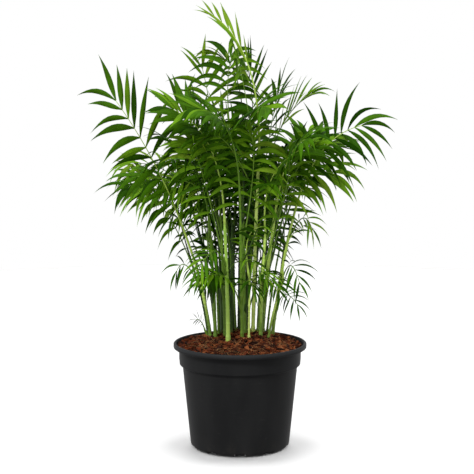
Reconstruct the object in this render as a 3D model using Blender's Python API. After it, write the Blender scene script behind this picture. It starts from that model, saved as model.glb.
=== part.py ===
"""A parlor palm in a round nursery pot: a clump of green canes that bear arching, feather-shaped fronds.

Metres, +Z up. The origin is the centre of the pot's underside, and the plant is seen from -Y.
The pot, the soil, each cane and each frond are separate closed bodies. A frond is a stalk that runs on
into a three-sided rib with two rows of thin leaflets, all one surface. Each frond is grown clear of what
stands already: its stalk tries a few routes, and a leaflet that would touch something turns, gets
shorter, or is left out.
"""

import math
import random
from typing import NamedTuple

import bmesh
import bpy
from mathutils import Matrix, Vector
from mathutils.bvhtree import BVHTree

UP = Vector((0.0, 0.0, 1.0))
CLEARANCE = 0.0003

# Pot
RIM_RADIUS = 0.0965
POT_HEIGHT = 0.152
LIP_WIDTH = 0.0058
LIP_HEIGHT = 0.0075
COLLAR_RADIUS = 0.0884
COLLAR_HEIGHT = 0.0325
SHOULDER_RADIUS = 0.0835
BASE_RADIUS = 0.0722
FOOT_RADIUS = 0.0675
FOOT_WIDTH = 0.012
FOOT_HEIGHT = 0.004
BOSS_RADIUS = 0.012
CORNER_HEIGHT = 0.006
WALL = 0.0022
POT_SIDES = 48
NOTCH_COUNT = 10
NOTCH_WIDTH = 0.014
NOTCH_HEIGHT = 0.0032

# Soil
SOIL_EDGE = 0.1470
MOUND_HEIGHT = 0.015
MOUND_CENTRE = (0.006, 0.034)
MOUND_SPREAD = 0.052
SOIL_RIPPLE = 0.0009
SOIL_SIDES = 36
SOIL_RINGS = 6

# Canes
CANE_SIDES = 6
CANE_NODES = 4
CANE_TAPER = 0.60
NODE_SWELL = 1.14
FOOT_FLARE = 1.35
FOOT_SHARE = 0.035

# Fronds
GOLDEN_ANGLE = math.radians(137.5)
STALK_RADIUS = 0.0015
RIB_TIP_RADIUS = 0.0007
STALK_STEPS = 5
JOINT_ANGLE = math.radians(11.0)
LEAF_FOOT = 0.0032
LEAF_WIDTH_SHARE = 0.135
LEAF_KEEL_SHARE = 0.022
LEAF_WAIST = 0.42
LEAF_ANGLE_LOW = math.radians(68.0)
LEAF_ANGLE_TIP = math.radians(20.0)
LEAF_ANGLE_LEAST = math.radians(4.0)
LEAF_ANGLE_STRAY = math.radians(9.0)
LEAF_LENGTH_STRAY = 0.11
LEAF_DROOP_STRAY = 0.24


class Cane(NamedTuple):
    """One stem: where it leaves the soil, where its crown is, and its radius above the foot."""

    foot: tuple
    crown: tuple
    radius: float = 0.0030


class Frond(NamedTuple):
    """One frond, from the share of its cane's length where the stalk leaves to the tip of its rib."""

    cane: int
    joint: float
    tip: tuple
    rise: float
    turn: float = 0.0
    pairs: int = 8
    leaflet: float = 0.062
    droop: float = 0.5
    blade: float = 0.155
    spread: float = 1.0
    lift: float = 0.12


# The canes, from the left of the pot to the right, and then those at the back.
CANES = (
    Cane((-0.043, 0.026), (-0.0715, -0.004, 0.290), 0.0025),
    Cane((-0.036, 0.014), (-0.044, 0.004, 0.330), 0.0028),
    Cane((-0.026, 0.040), (-0.034, 0.042, 0.345), 0.0026),
    Cane((-0.017, -0.004), (-0.022, -0.036, 0.340), 0.0033),
    Cane((0.007, 0.014), (0.004, 0.002, 0.372), 0.0028),
    Cane((0.019, 0.021), (0.026, -0.050, 0.420), 0.0029),
    Cane((0.033, 0.038), (0.052, -0.030, 0.358), 0.0029),
    Cane((0.048, 0.032), (0.079, -0.005, 0.345), 0.0027),
    Cane((-0.010, 0.056), (-0.016, 0.075, 0.345), 0.0027),
    Cane((0.012, 0.062), (0.018, 0.083, 0.352), 0.0027),
    Cane((0.034, 0.060), (0.054, 0.080, 0.320), 0.0027),
    Cane((-0.036, 0.058), (-0.060, 0.076, 0.300), 0.0027),
    Cane((0.003, 0.000), (0.000, -0.062, 0.372), 0.0024),
    Cane((0.001, 0.034), (0.002, 0.037, 0.385), 0.0030),
    Cane((-0.022, 0.018), (-0.029, 0.012, 0.350), 0.0025),
    Cane((0.019, 0.047), (0.031, 0.050, 0.340), 0.0026),
    Cane((0.030, 0.010), (0.036, -0.022, 0.312), 0.0026),
)

# The fronds that give the crown its outline, as they are seen from the front.
OUTLINE_FRONDS = (
    # upper left and upper right, spread towards the viewer
    Frond(0, 1.0, (-0.1700, -0.085, 0.5040), 0.132, 78, 11, 0.082, 0.40, 0.180),
    Frond(7, 1.0, (0.1700, -0.060, 0.4680), 0.116, -84, 10, 0.070, 0.70, 0.195),
    # the folded young frond at the very top, and those beside it
    Frond(5, 1.0, (-0.037, -0.030, 0.6190), 0.160, 60, 5, 0.056, 0.00, 0.105, 0.10, 0.03),
    Frond(9, 1.0, (0.012, 0.045, 0.5430), 0.140, -50, 8, 0.068, 0.10, 0.150, 0.86),
    Frond(14, 1.0, (-0.054, 0.010, 0.5480), 0.125, 66, 9, 0.064, 0.35, 0.165, 0.9),
    Frond(3, 1.0, (-0.092, -0.075, 0.4900), 0.125, 56, 9, 0.070, 0.40, 0.150),
    Frond(15, 1.0, (0.098, -0.015, 0.5080), 0.135, -55, 7, 0.066, 0.10, 0.115, 0.36),
    Frond(6, 1.0, (0.088, -0.100, 0.4500), 0.090, -42, 9, 0.062, 0.65, 0.115),
    # middle left
    Frond(1, 1.0, (-0.136, -0.030, 0.3750), 0.085, 40, 9, 0.060, 1.00, 0.155),
    Frond(11, 1.0, (-0.158, 0.040, 0.4080), 0.120, 45, 8, 0.066, 0.95, 0.165),
    Frond(2, 1.0, (-0.098, 0.000, 0.3350), 0.060, 30, 7, 0.046, 1.20, 0.100),
    # middle right
    Frond(6, 0.90, (0.130, -0.030, 0.4000), 0.080, -55, 7, 0.066, 0.95, 0.140),
    Frond(10, 1.0, (0.142, 0.050, 0.4080), 0.100, -45, 8, 0.058, 0.70, 0.140),
    Frond(7, 0.84, (0.104, -0.010, 0.3160), 0.045, -45, 6, 0.036, 0.70, 0.076),
    # over the middle, towards the viewer
    Frond(4, 1.0, (0.034, -0.105, 0.4940), 0.130, -36, 8, 0.070, 0.38, 0.120),
    Frond(12, 1.0, (-0.056, -0.115, 0.4920), 0.120, 40, 9, 0.066, 0.45, 0.125),
    # the small ones low on the canes
    Frond(0, 0.64, (-0.092, 0.000, 0.2540), 0.050, 50, 5, 0.036, 0.90, 0.070),
    Frond(3, 0.60, (-0.060, -0.055, 0.2620), 0.055, 20, 6, 0.042, 0.80, 0.080),
    Frond(7, 0.48, (0.086, -0.015, 0.2380), 0.045, -40, 6, 0.038, 0.90, 0.070),
    Frond(7, 0.26, (0.084, -0.020, 0.2080), 0.035, -35, 5, 0.034, 0.80, 0.060),
    Frond(12, 0.46, (0.036, -0.065, 0.2560), 0.050, 15, 6, 0.042, 0.90, 0.078),
    Frond(8, 0.28, (-0.062, 0.040, 0.2340), 0.055, 25, 6, 0.038, 0.85, 0.076),
)

# The rest fill the crown by a rule: golden-angle steps round it, with tips between two heights.
FILL_COUNT = 27
FROND_LIMIT = 41
FILL_START = math.radians(200.0)
FILL_LOW = 0.320
FILL_HIGH = 0.530
FILL_SIDE_FALL = 0.085
FILL_FRONT_RISE = 0.125
FILL_REACH = 0.088
FILL_REACH_SWELL = 0.085
FILL_CENTRE = (0.005, 0.012)
FILL_BACK_STRETCH = 1.05
FILL_FRONT_STRETCH = 0.75
FILL_LEVEL_START = 0.37
GOLDEN_SHARE = 0.618
FILL_CROWDING = 0.045
FILL_TOP_JOINT = 0.96
FILL_JOINT_STEP = 0.15
FILL_RISE_SHARE = 0.75
FILL_RISE_MORE = 0.035
FILL_RISE_LEAST = 0.045
FILL_TURN = 52.0
FILL_PAIRS = 8
FILL_LEAFLET = 0.056
FILL_LEAFLET_SWELL = 0.008
FILL_DROOP = 0.85
FILL_DROOP_FALL = 0.35


def clear_scene():
    for obj in list(bpy.data.objects):
        bpy.data.objects.remove(obj, do_unlink=True)


def material(name, colour, roughness, metallic=0.0):
    made = bpy.data.materials.new(name)
    made.use_nodes = True
    shader = made.node_tree.nodes["Principled BSDF"]
    shader.inputs["Base Color"].default_value = (*colour, 1.0)
    shader.inputs["Roughness"].default_value = roughness
    shader.inputs["Metallic"].default_value = metallic
    return made


def add_object(name, points, faces, finish, smooth=False):
    """An object whose closed mesh has these points and faces, with its normals made to face out."""
    mesh = bpy.data.meshes.new(name)
    mesh.from_pydata([tuple(p) for p in points], [], faces)
    mesh.materials.append(finish)
    shape = bmesh.new()
    shape.from_mesh(mesh)
    bmesh.ops.recalc_face_normals(shape, faces=shape.faces)
    if shape.calc_volume(signed=True) < 0.0:
        bmesh.ops.reverse_faces(shape, faces=shape.faces)
    shape.to_mesh(mesh)
    shape.free()
    if smooth:
        mesh.shade_smooth()
        mesh.set_sharp_from_angle(angle=math.radians(35.0))
    obj = bpy.data.objects.new(name, mesh)
    bpy.context.scene.collection.objects.link(obj)
    return obj


def turned(rings, sides):
    """Points and faces of a body turned about Z. Its (radius, height) rings start and end on the axis."""
    points = [Vector((0.0, 0.0, rings[0][1]))]
    for radius, height in rings[1:-1]:
        for k in range(sides):
            angle = 2.0 * math.pi * k / sides
            points.append(Vector((radius * math.cos(angle), radius * math.sin(angle), height)))
    points.append(Vector((0.0, 0.0, rings[-1][1])))
    last = len(points) - 1
    faces = []
    for k in range(sides):
        after = (k + 1) % sides
        faces.append((0, 1 + after, 1 + k))
        faces.append((last, last - sides + k, last - sides + after))
        for ring in range(len(rings) - 3):
            low, high = 1 + ring * sides, 1 + (ring + 1) * sides
            faces.append((low + k, low + after, high + after, high + k))
    return points, faces


# Pot and soil


def pot_inner_radius(height):
    """Radius of the pot's inner wall at a height: the body's cone, and then the wider collar."""
    shoulder = POT_HEIGHT - COLLAR_HEIGHT
    if height < shoulder:
        share = (height - CORNER_HEIGHT) / (shoulder - CORNER_HEIGHT)
        return BASE_RADIUS + (SHOULDER_RADIUS - BASE_RADIUS) * share - WALL
    share = (height - shoulder) / COLLAR_HEIGHT
    return SHOULDER_RADIUS - WALL + (COLLAR_RADIUS - SHOULDER_RADIUS) * min(1.0, 0.55 + 0.45 * share)


def pot_profile():
    """The pot's outline from the centre of its underside, over the rim, to the centre of its floor."""
    shoulder = POT_HEIGHT - COLLAR_HEIGHT
    lip_foot = POT_HEIGHT - LIP_HEIGHT
    floor = FOOT_HEIGHT + WALL
    return [
        (0.0, 0.0),
        (BOSS_RADIUS, 0.0),
        (BOSS_RADIUS, FOOT_HEIGHT),
        (FOOT_RADIUS - FOOT_WIDTH, FOOT_HEIGHT),
        (FOOT_RADIUS - FOOT_WIDTH, 0.0),
        (FOOT_RADIUS, 0.0),
        (BASE_RADIUS - 0.0012, 0.35 * CORNER_HEIGHT),
        (BASE_RADIUS, CORNER_HEIGHT),
        (SHOULDER_RADIUS, shoulder),
        (COLLAR_RADIUS - 0.0012, shoulder + 0.004),
        (COLLAR_RADIUS, lip_foot),
        (RIM_RADIUS - 0.001, lip_foot + 0.0005),
        (RIM_RADIUS, POT_HEIGHT - 0.45 * LIP_HEIGHT),
        (RIM_RADIUS - 0.0015, POT_HEIGHT - 0.0008),
        (RIM_RADIUS - 0.5 * LIP_WIDTH, POT_HEIGHT),
        (RIM_RADIUS - LIP_WIDTH, POT_HEIGHT - 0.0012),
        (pot_inner_radius(lip_foot), lip_foot),
        (pot_inner_radius(shoulder + 0.001), shoulder + 0.001),
        (pot_inner_radius(shoulder - 0.002), shoulder - 0.002),
        (pot_inner_radius(floor), floor),
        (0.0, floor),
    ]


def notch_cutter():
    """Radial blocks, in one hidden mesh, that cut the drain notches through the pot's foot ring."""
    shape = bmesh.new()
    depth = FOOT_WIDTH + 0.010
    middle = FOOT_RADIUS - 0.5 * FOOT_WIDTH + 0.001
    for k in range(NOTCH_COUNT):
        turn = Matrix.Rotation(2.0 * math.pi * (k + 0.5) / NOTCH_COUNT, 4, "Z")
        place = turn @ Matrix.Translation((middle, 0.0, 0.0)) @ Matrix.Diagonal(
            (depth, NOTCH_WIDTH, 2.0 * NOTCH_HEIGHT, 1.0)
        )
        bmesh.ops.create_cube(shape, size=1.0, matrix=place)
    mesh = bpy.data.meshes.new("notch_cutter")
    shape.to_mesh(mesh)
    shape.free()
    cutter = bpy.data.objects.new("notch_cutter", mesh)
    cutter.hide_render = True
    cutter.display_type = "WIRE"
    bpy.context.scene.collection.objects.link(cutter)
    return cutter


def make_pot(finish):
    points, faces = turned(pot_profile(), POT_SIDES)
    pot = add_object("pot", points, faces, finish, smooth=True)
    cut = pot.modifiers.new("drain_notches", "BOOLEAN")
    cut.operation = "DIFFERENCE"
    cut.solver = "EXACT"
    cut.object = notch_cutter()
    return pot


def soil_height(x, y):
    """Height of the soil: a flat edge, the root ball's mound, and a slight ripple."""
    away = math.hypot(x - MOUND_CENTRE[0], y - MOUND_CENTRE[1]) / MOUND_SPREAD
    edge = min(1.0, math.hypot(x, y) / (COLLAR_RADIUS - WALL))
    mound = MOUND_HEIGHT * math.exp(-away * away) * (1.0 - edge**4)
    return SOIL_EDGE + mound + SOIL_RIPPLE * math.sin(170.0 * x + 1.0) * math.cos(150.0 * y)


def make_soil(finish):
    """The soil fills the pot, a clearance inside its wall, with a mounded top."""
    shoulder = POT_HEIGHT - COLLAR_HEIGHT
    floor = FOOT_HEIGHT + WALL + CLEARANCE
    outline = [(0.0, floor)]
    for height in (floor, shoulder - 0.002, shoulder + 0.0015, SOIL_EDGE):
        outline.append((pot_inner_radius(height) - 1.6 * CLEARANCE, height))
    edge_radius = outline[-1][0]
    for ring in range(SOIL_RINGS - 1, 0, -1):
        outline.append((edge_radius * ring / SOIL_RINGS, SOIL_EDGE))
    outline.append((0.0, SOIL_EDGE))
    points, faces = turned(outline, SOIL_SIDES)
    first_top = 1 + SOIL_SIDES * (len(outline) - 2 - SOIL_RINGS)
    for point in points[first_top:]:
        point.z = soil_height(point.x, point.y)
    return add_object("soil", points, faces, finish)


# Tubes along a curve


def quadratic(a, b, c, t):
    return a * (1.0 - t) ** 2 + b * (2.0 * t * (1.0 - t)) + c * t**2


def heading(a, b, c, t):
    return ((b - a) * (1.0 - t) + (c - b) * t).normalized()


def across(direction, hint):
    """The unit vector nearest to the hint that is square to the direction."""
    return (hint - direction * hint.dot(direction)).normalized()


def sleeve(centres, sides, ups, radii, count):
    """Points and faces of a closed tube with flat ends, given a frame and a radius at each centre."""
    points, faces = [], []
    for centre, side, up, radius in zip(centres, sides, ups, radii):
        for k in range(count):
            angle = 2.0 * math.pi * k / count
            points.append(centre + side * (radius * math.cos(angle)) + up * (radius * math.sin(angle)))
    for ring in range(len(centres) - 1):
        for k in range(count):
            after = (k + 1) % count
            low, high = ring * count, (ring + 1) * count
            faces.append((low + k, low + after, high + after, high + k))
    faces.append(tuple(reversed(range(count))))
    faces.append(tuple(range(len(points) - count, len(points))))
    return points, faces


# Canes


def cane_curve(cane):
    """Foot, bend and crown of a cane: it leaves the soil upright and then leans to its crown."""
    x, y = cane.foot
    reach = cane.radius * FOOT_FLARE
    ground = max(
        soil_height(x + reach * math.cos(k * math.pi / 4.0), y + reach * math.sin(k * math.pi / 4.0))
        for k in range(8)
    )
    foot = Vector((x, y, ground + 2.0 * CLEARANCE))
    crown = Vector(cane.crown)
    bend = Vector((x, y, foot.z)).lerp(crown, 0.5) - Vector((crown.x - x, crown.y - y, 0.0)) * 0.22
    return foot, bend, crown


def cane_radius(cane, share):
    return cane.radius * (1.0 + (CANE_TAPER - 1.0) * share)


def cane_rings(cane):
    """Each ring's share of the cane's length, and its radius: the foot's flare, and the swollen nodes."""
    rings = [(0.0, cane.radius * FOOT_FLARE), (FOOT_SHARE, cane.radius)]
    for k in range(1, CANE_NODES + 1):
        share = k / (CANE_NODES + 0.6)
        rings.append((share - 0.5 / (CANE_NODES + 0.6), cane_radius(cane, share)))
        rings.append((share, cane_radius(cane, share) * NODE_SWELL))
    rings.append((1.0, cane_radius(cane, 1.0)))
    return rings


def cane_surface(cane, share):
    """Radius of the cane between the two rings that a share of its length lies between."""
    rings = cane_rings(cane)
    for (low, near), (high, far) in zip(rings, rings[1:]):
        if share <= high:
            return near + (far - near) * (share - low) / (high - low)
    return rings[-1][1]


def cane_body(cane):
    curve = cane_curve(cane)
    rings = cane_rings(cane)
    centres, sides, ups = [], [], []
    for share, _ in rings:
        # The first ring lies flat, so that the cane has a level cut at the ground.
        along = UP if share == 0.0 else heading(*curve, share)
        side = across(along, Vector((1.0, 0.0, 0.0)))
        centres.append(quadratic(*curve, share))
        sides.append(side)
        ups.append(along.cross(side))
    return sleeve(centres, sides, ups, [radius for _, radius in rings], CANE_SIDES)


# Fronds


def fill_fronds():
    """The fronds inside and behind the outline, dealt out to the canes that bear fewest."""
    borne = [sum(frond.cane == k for frond in OUTLINE_FRONDS) for k in range(len(CANES))]
    made = []
    for k in range(FILL_COUNT):
        angle = FILL_START + k * GOLDEN_ANGLE
        level = (FILL_LEVEL_START + k * GOLDEN_SHARE) % 1.0
        reach = FILL_REACH + FILL_REACH_SWELL * math.sin(0.90 * math.pi * level)
        x = FILL_CENTRE[0] + reach * math.cos(angle)
        stretch = FILL_BACK_STRETCH if math.sin(angle) > 0.0 else FILL_FRONT_STRETCH
        y = FILL_CENTRE[1] + reach * stretch * math.sin(angle)
        low = FILL_LOW + FILL_FRONT_RISE * max(0.0, -math.sin(angle))
        high = FILL_HIGH - FILL_SIDE_FALL * abs(math.cos(angle))
        height = low + (high - low) * level

        def cost(index):
            crown = CANES[index].crown
            return FILL_CROWDING * borne[index] + math.hypot(crown[0] - x, crown[1] - y)

        cane = min(range(len(CANES)), key=cost)
        borne[cane] += 1
        joint = FILL_TOP_JOINT - FILL_JOINT_STEP * (borne[cane] - 1)
        start = SOIL_EDGE + joint * (CANES[cane].crown[2] - SOIL_EDGE)
        rise = max(FILL_RISE_LEAST, FILL_RISE_SHARE * (height - start) + FILL_RISE_MORE)
        turn = FILL_TURN * math.sin(3.0 * k + 1.0)
        leaflet = FILL_LEAFLET + FILL_LEAFLET_SWELL * level
        droop = FILL_DROOP - FILL_DROOP_FALL * level
        made.append(Frond(cane, joint, (x, y, height), rise, turn, FILL_PAIRS, leaflet, droop))
    return made


def frond_curve(frond, sway):
    """Start, bend and tip of a frond, which starts a clearance off the cane's side, or off its top end."""
    cane = CANES[frond.cane]
    path = cane_curve(cane)
    on_top = frond.joint >= 1.0
    seat = quadratic(*path, frond.joint)
    tip = Vector(frond.tip)
    along = heading(*path, frond.joint)
    outward = across(along, tip - seat)
    lean = 0.0 if on_top else JOINT_ANGLE
    arch = (along * math.cos(lean) + outward * math.sin(lean)) * frond.rise
    arch += outward.cross(along) * sway[0] + outward * sway[1]
    away = along if on_top else outward
    surface = 0.0 if on_top else cane_surface(cane, frond.joint)
    _, _, side, up = frond_frame(frond, (seat, seat + arch, tip), 0.0)
    reach = max(-corner.dot(away) for corner in rib_corners(side, up, STALK_RADIUS))
    start = seat + away * (surface + reach + 1.2 * CLEARANCE)
    return start, start + arch, tip


def frond_frame(frond, curve, t):
    """Centre, direction, side and upper face of a frond at t, rolled about its rib by the frond's turn."""
    along = heading(*curve, t)
    spread = curve[2] - curve[0]
    side = across(along, spread.cross(UP))
    up = side.cross(along)
    turn = math.radians(frond.turn)
    return (
        quadratic(*curve, t),
        along,
        side * math.cos(turn) + up * math.sin(turn),
        up * math.cos(turn) - side * math.sin(turn),
    )


def rib_corners(side, up, radius):
    """The rib's section: two corners along its upper edges, and one on its keel."""
    return (up * (0.5 * radius) - side * radius, up * (0.5 * radius) + side * radius, up * -radius)


def rib_radius(t):
    return STALK_RADIUS + (RIB_TIP_RADIUS - STALK_RADIUS) * t**0.8


def rib_stations(frond, curve):
    """Shares of the rib at which it has a ring. Each leaflet pair stands between two of them."""
    length = sum(
        (quadratic(*curve, (k + 1) / 16) - quadratic(*curve, k / 16)).length for k in range(16)
    )
    blade = min(0.75, frond.blade / length)
    bare = 1.0 - blade
    stations = [bare * k / STALK_STEPS for k in range(STALK_STEPS)]
    half = 0.5 * LEAF_FOOT / length
    pairs = []
    for k in range(frond.pairs):
        share = k / (frond.pairs - 1)
        t = bare + (blade - 2.5 * half) * share**0.92 + half
        pairs.append(len(stations))
        stations += [t - half, t + half]
    return stations, pairs


def leaf_shares(frond, share):
    """Length and opening angle of a leaflet at a share of the blade, from its foot to its tip."""
    length = frond.leaflet * (0.66 + 0.34 * math.sin(math.pi * (0.12 + 0.80 * (1.0 - share))) ** 0.8)
    angle = (LEAF_ANGLE_LOW + (LEAF_ANGLE_TIP - LEAF_ANGLE_LOW) * share**2.4) * frond.spread
    return length, angle


def leaf_spine(frond, frame, foot, hand, share, stray, trial):
    """Waist and tip of one leaflet's middle line, with its half width and its keel as vectors."""
    _, along, side, up = frame
    swing, sink, scale = trial
    length, angle = leaf_shares(frond, share)
    length *= scale * (1.0 + LEAF_LENGTH_STRAY * stray[0])
    angle = max(LEAF_ANGLE_LEAST, angle + LEAF_ANGLE_STRAY * frond.spread * stray[1] + math.radians(swing))
    droop = frond.droop + LEAF_DROOP_STRAY * stray[2] + sink
    out = (along * math.cos(angle) + side * (hand * math.sin(angle)) + up * frond.lift).normalized()
    near = (out - UP * (0.30 * droop)).normalized()
    far = (out - UP * droop).normalized()
    waist = foot + near * (length * LEAF_WAIST)
    tip = waist + far * (length * (1.0 - LEAF_WAIST))
    width = across(near, along - side * (hand * 0.3))
    keel = near.cross(width) * hand
    half = 0.5 * LEAF_WIDTH_SHARE * length / max(0.75, scale)
    depth = LEAF_KEEL_SHARE * length + 0.0002
    return waist, tip, width * half, keel * depth


# A leaflet's triangles. Its points are two at the rib's edge, the keel, three at the waist, and the tip.
LEAF_FACES = (
    (0, 1, 4), (0, 4, 3), (1, 2, 5), (1, 5, 4), (2, 0, 3), (2, 3, 5), (3, 4, 6), (4, 5, 6), (5, 3, 6),
)


def leaf_points(spine):
    """The three points of a leaflet's waist, and its tip."""
    waist, tip, half, keel = spine
    return [waist - half, waist + half, waist - keel, tip]


def trial_leaf(foot, belly, frame, spine, start_share):
    """A slightly fatter copy of the leaflet, from a share of its near half on, to test for touching."""
    waist, tip, half, keel = spine
    _, along, _, _ = frame
    grown = 1.0 + 2.0 * CLEARANCE / half.length
    rise = keel.normalized() * CLEARANCE
    start = foot.lerp(waist, start_share)
    under = belly.lerp(waist - keel, start_share)
    inner = along * (0.5 * LEAF_FOOT)
    points = [
        start - inner + rise,
        start + inner + rise,
        under - rise,
        waist - half * grown + rise,
        waist + half * grown + rise,
        waist - keel - rise,
        tip + (tip - waist).normalized() * CLEARANCE,
    ]
    return points, LEAF_FACES


class Thicket:
    """Everything that stands already, as one search tree."""

    def __init__(self):
        self.points = []
        self.faces = []
        self.tree = None

    def add(self, points, faces):
        first = len(self.points)
        self.points += [Vector(p) for p in points]
        self.faces += [tuple(first + index for index in face) for face in faces]
        self.tree = None

    def hits(self, points, faces):
        if not self.faces:
            return False
        if self.tree is None:
            self.tree = BVHTree.FromPolygons(self.points, self.faces)
        return bool(self.tree.overlap(BVHTree.FromPolygons(points, faces)))


SWAYS = [(0.0, 0.0)] + [
    (reach * math.cos(k * math.pi / 4.0), 0.6 * reach * math.sin(k * math.pi / 4.0))
    for reach in (0.008, 0.016, 0.026, 0.038, 0.052)
    for k in range(8)
]

LEAF_TRIALS = [
    (swing, sink, scale)
    for scale in (1.0, 0.82, 0.62, 0.45)
    for sink in (0.0, 0.22, -0.22, 0.45)
    for swing in (0.0, 7.0, -7.0, 14.0, -14.0)
]


def rib_rings(frond, curve, stations, extra=0.0):
    """The rib's section at each station."""
    rings = []
    for t in stations:
        centre, _, side, up = frond_frame(frond, curve, t)
        rings.append([centre + corner for corner in rib_corners(side, up, rib_radius(t) + extra)])
    return rings


def rib_trial(frond, curve):
    """The whole rib, a little fatter, to test against what stands already."""
    stations, _ = rib_stations(frond, curve)
    rings = rib_rings(frond, curve, stations, 3.0 * CLEARANCE)
    rings[0] = rib_rings(frond, curve, stations[:1])[0]
    points = [p for ring in rings for p in ring]
    faces = []
    for k in range(len(rings) - 1):
        for a, b in ((0, 1), (1, 2), (2, 0)):
            faces.append((3 * k + a, 3 * k + b, 3 * k + 3 + b, 3 * k + 3 + a))
    return points, faces


def choose_route(frond, thicket):
    """The first route whose stalk and rib touch nothing, from the joint or from a little below it."""
    for lower in (0.0, 0.05, 0.10, 0.16):
        start = frond if lower == 0.0 else frond._replace(joint=frond.joint - lower)
        for sway in SWAYS:
            curve = frond_curve(start, sway)
            if not thicket.hits(*rib_trial(frond, curve)):
                return curve
    return None


def frond_body(frond, chance, thicket):
    """Points and faces of one frond, grown clear of the thicket, with the number of its leaflets, or None."""
    curve = choose_route(frond, thicket)
    if curve is None:
        return None
    stations, pairs = rib_stations(frond, curve)
    rings = rib_rings(frond, curve, stations)
    points = [p for ring in rings for p in ring]
    faces = [(0, 2, 1)]
    own = Thicket()
    leaves = 0
    starts = {station: k for k, station in enumerate(pairs)}
    for k in range(len(stations) - 1):
        left, right, keel = 3 * k, 3 * k + 1, 3 * k + 2
        left_on, right_on, keel_on = left + 3, right + 3, keel + 3
        faces.append((left, right, right_on, left_on))
        if k not in starts:
            faces += [(right, keel, keel_on, right_on), (keel, left, left_on, keel_on)]
            continue
        share = starts[k] / (frond.pairs - 1)
        middle = 0.5 * (stations[k] + stations[k + 1])
        frame = frond_frame(frond, curve, middle)
        belly = len(points)
        points.append((points[keel] + points[keel_on]) * 0.5)
        for hand, near, far in ((-1, left, left_on), (1, right, right_on)):
            foot = (points[near] + points[far]) * 0.5
            stray = [chance.uniform(-1.0, 1.0) for _ in range(3)]
            spine = grow_leaf(frond, frame, foot, points[belly], hand, share, stray, thicket, own)
            if spine is None:
                faces += [(near, belly, keel), (near, far, belly), (far, keel_on, belly)]
                continue
            leaves += 1
            corners = [near, far, belly, *range(len(points), len(points) + 4)]
            points += leaf_points(spine)
            faces += [(near, belly, keel), (far, keel_on, belly)]
            faces += [tuple(corners[k] for k in face) for face in LEAF_FACES]
    last = 3 * (len(stations) - 1)
    faces.append((last, last + 1, last + 2))
    return points, faces, leaves


def grow_leaf(frond, frame, foot, belly, hand, share, stray, thicket, own):
    """The first shape of a leaflet that touches nothing, or None."""
    for trial in LEAF_TRIALS:
        spine = leaf_spine(frond, frame, foot, hand, share, stray, trial)
        if thicket.hits(*trial_leaf(foot, belly, frame, spine, 0.0)):
            continue
        free_part = trial_leaf(foot, belly, frame, spine, 0.08)
        if own.hits(*free_part):
            continue
        own.add(*free_part)
        return spine
    return None


def build():
    clear_scene()
    plastic = material("pot_plastic", (0.018, 0.018, 0.019), 0.5)
    bark = material("potting_bark", (0.075, 0.026, 0.012), 0.95)
    cane_green = material("cane_green", (0.23, 0.42, 0.07), 0.45)
    leaf_green = material("leaf_green", (0.075, 0.19, 0.018), 0.42)
    make_pot(plastic)
    make_soil(bark)
    thicket = Thicket()
    for index, cane in enumerate(CANES):
        points, faces = cane_body(cane)
        add_object(f"cane_{index + 1:02d}", points, faces, cane_green, smooth=True)
        thicket.add(points, faces)
    grown = 0
    leaflets = 0
    for index, frond in enumerate((*OUTLINE_FRONDS, *fill_fronds())):
        body = frond_body(frond, random.Random(index), thicket)
        if body is None or grown == FROND_LIMIT:
            continue
        points, faces, count = body
        grown += 1
        leaflets += count
        add_object(f"frond_{grown:02d}", points, faces, leaf_green)
        thicket.add(points, faces)
    print(grown, "fronds with", leaflets, "leaflets")


build()
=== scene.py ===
import math
import random
from typing import NamedTuple

import bpy
from mathutils import Matrix, Vector, noise
from mathutils.bvhtree import BVHTree


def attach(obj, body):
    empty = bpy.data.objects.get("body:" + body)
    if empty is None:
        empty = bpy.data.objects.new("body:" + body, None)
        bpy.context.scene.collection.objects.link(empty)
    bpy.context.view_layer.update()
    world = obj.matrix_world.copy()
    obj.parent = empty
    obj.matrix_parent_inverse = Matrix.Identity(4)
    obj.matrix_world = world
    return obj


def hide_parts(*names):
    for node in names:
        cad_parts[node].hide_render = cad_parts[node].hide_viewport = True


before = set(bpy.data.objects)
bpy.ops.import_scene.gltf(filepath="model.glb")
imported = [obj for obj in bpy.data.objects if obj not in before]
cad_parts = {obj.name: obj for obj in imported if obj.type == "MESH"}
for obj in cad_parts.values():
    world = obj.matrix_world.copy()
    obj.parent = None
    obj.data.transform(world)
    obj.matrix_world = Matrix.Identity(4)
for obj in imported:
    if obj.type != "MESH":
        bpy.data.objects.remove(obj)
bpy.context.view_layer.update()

# The potted parlor palm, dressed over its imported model. The first half repeats the model's growing rule, so
# that each stem, stalk and leaflet lies where the model has it. The second half makes the finer pieces: round
# ringed stems, grooved stalks, curved pointed leaflets, a bed of bark chips and fibre, and the moulded pot.

UP = Vector((0.0, 0.0, 1.0))
EAST = Vector((1.0, 0.0, 0.0))
CLEARANCE = 0.0003

# Pot
RIM_RADIUS = 0.0965
POT_HEIGHT = 0.152
LIP_HEIGHT = 0.0075
COLLAR_RADIUS = 0.0884
COLLAR_HEIGHT = 0.0325
SHOULDER_RADIUS = 0.0835
BASE_RADIUS = 0.0722
FOOT_RADIUS = 0.0675
FOOT_WIDTH = 0.012
FOOT_HEIGHT = 0.004
CORNER_HEIGHT = 0.006
WALL = 0.0022
NOTCH_COUNT = 10
NOTCH_WIDTH = 0.014
NOTCH_HEIGHT = 0.0044
NOTCH_COLUMNS = 12
NOTCH_EDGE = 0.006

# Soil
SOIL_EDGE = 0.1470
MOUND_HEIGHT = 0.015
MOUND_CENTRE = (0.006, 0.034)
MOUND_SPREAD = 0.052
SOIL_RIPPLE = 0.0009
SOIL_COLUMNS = 180
SOIL_ROWS = 62
CHUNK_COUNT = 420
CHIP_COUNT = 2000
FIBRE_COUNT = 340
CLOD_HEIGHT = 0.0021
CRUMB_HEIGHT = 0.0006
# The bark lies against the lip's flared inner side.
SOIL_REACH = 0.0908
SOIL_RAISED = 0.0010

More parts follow.
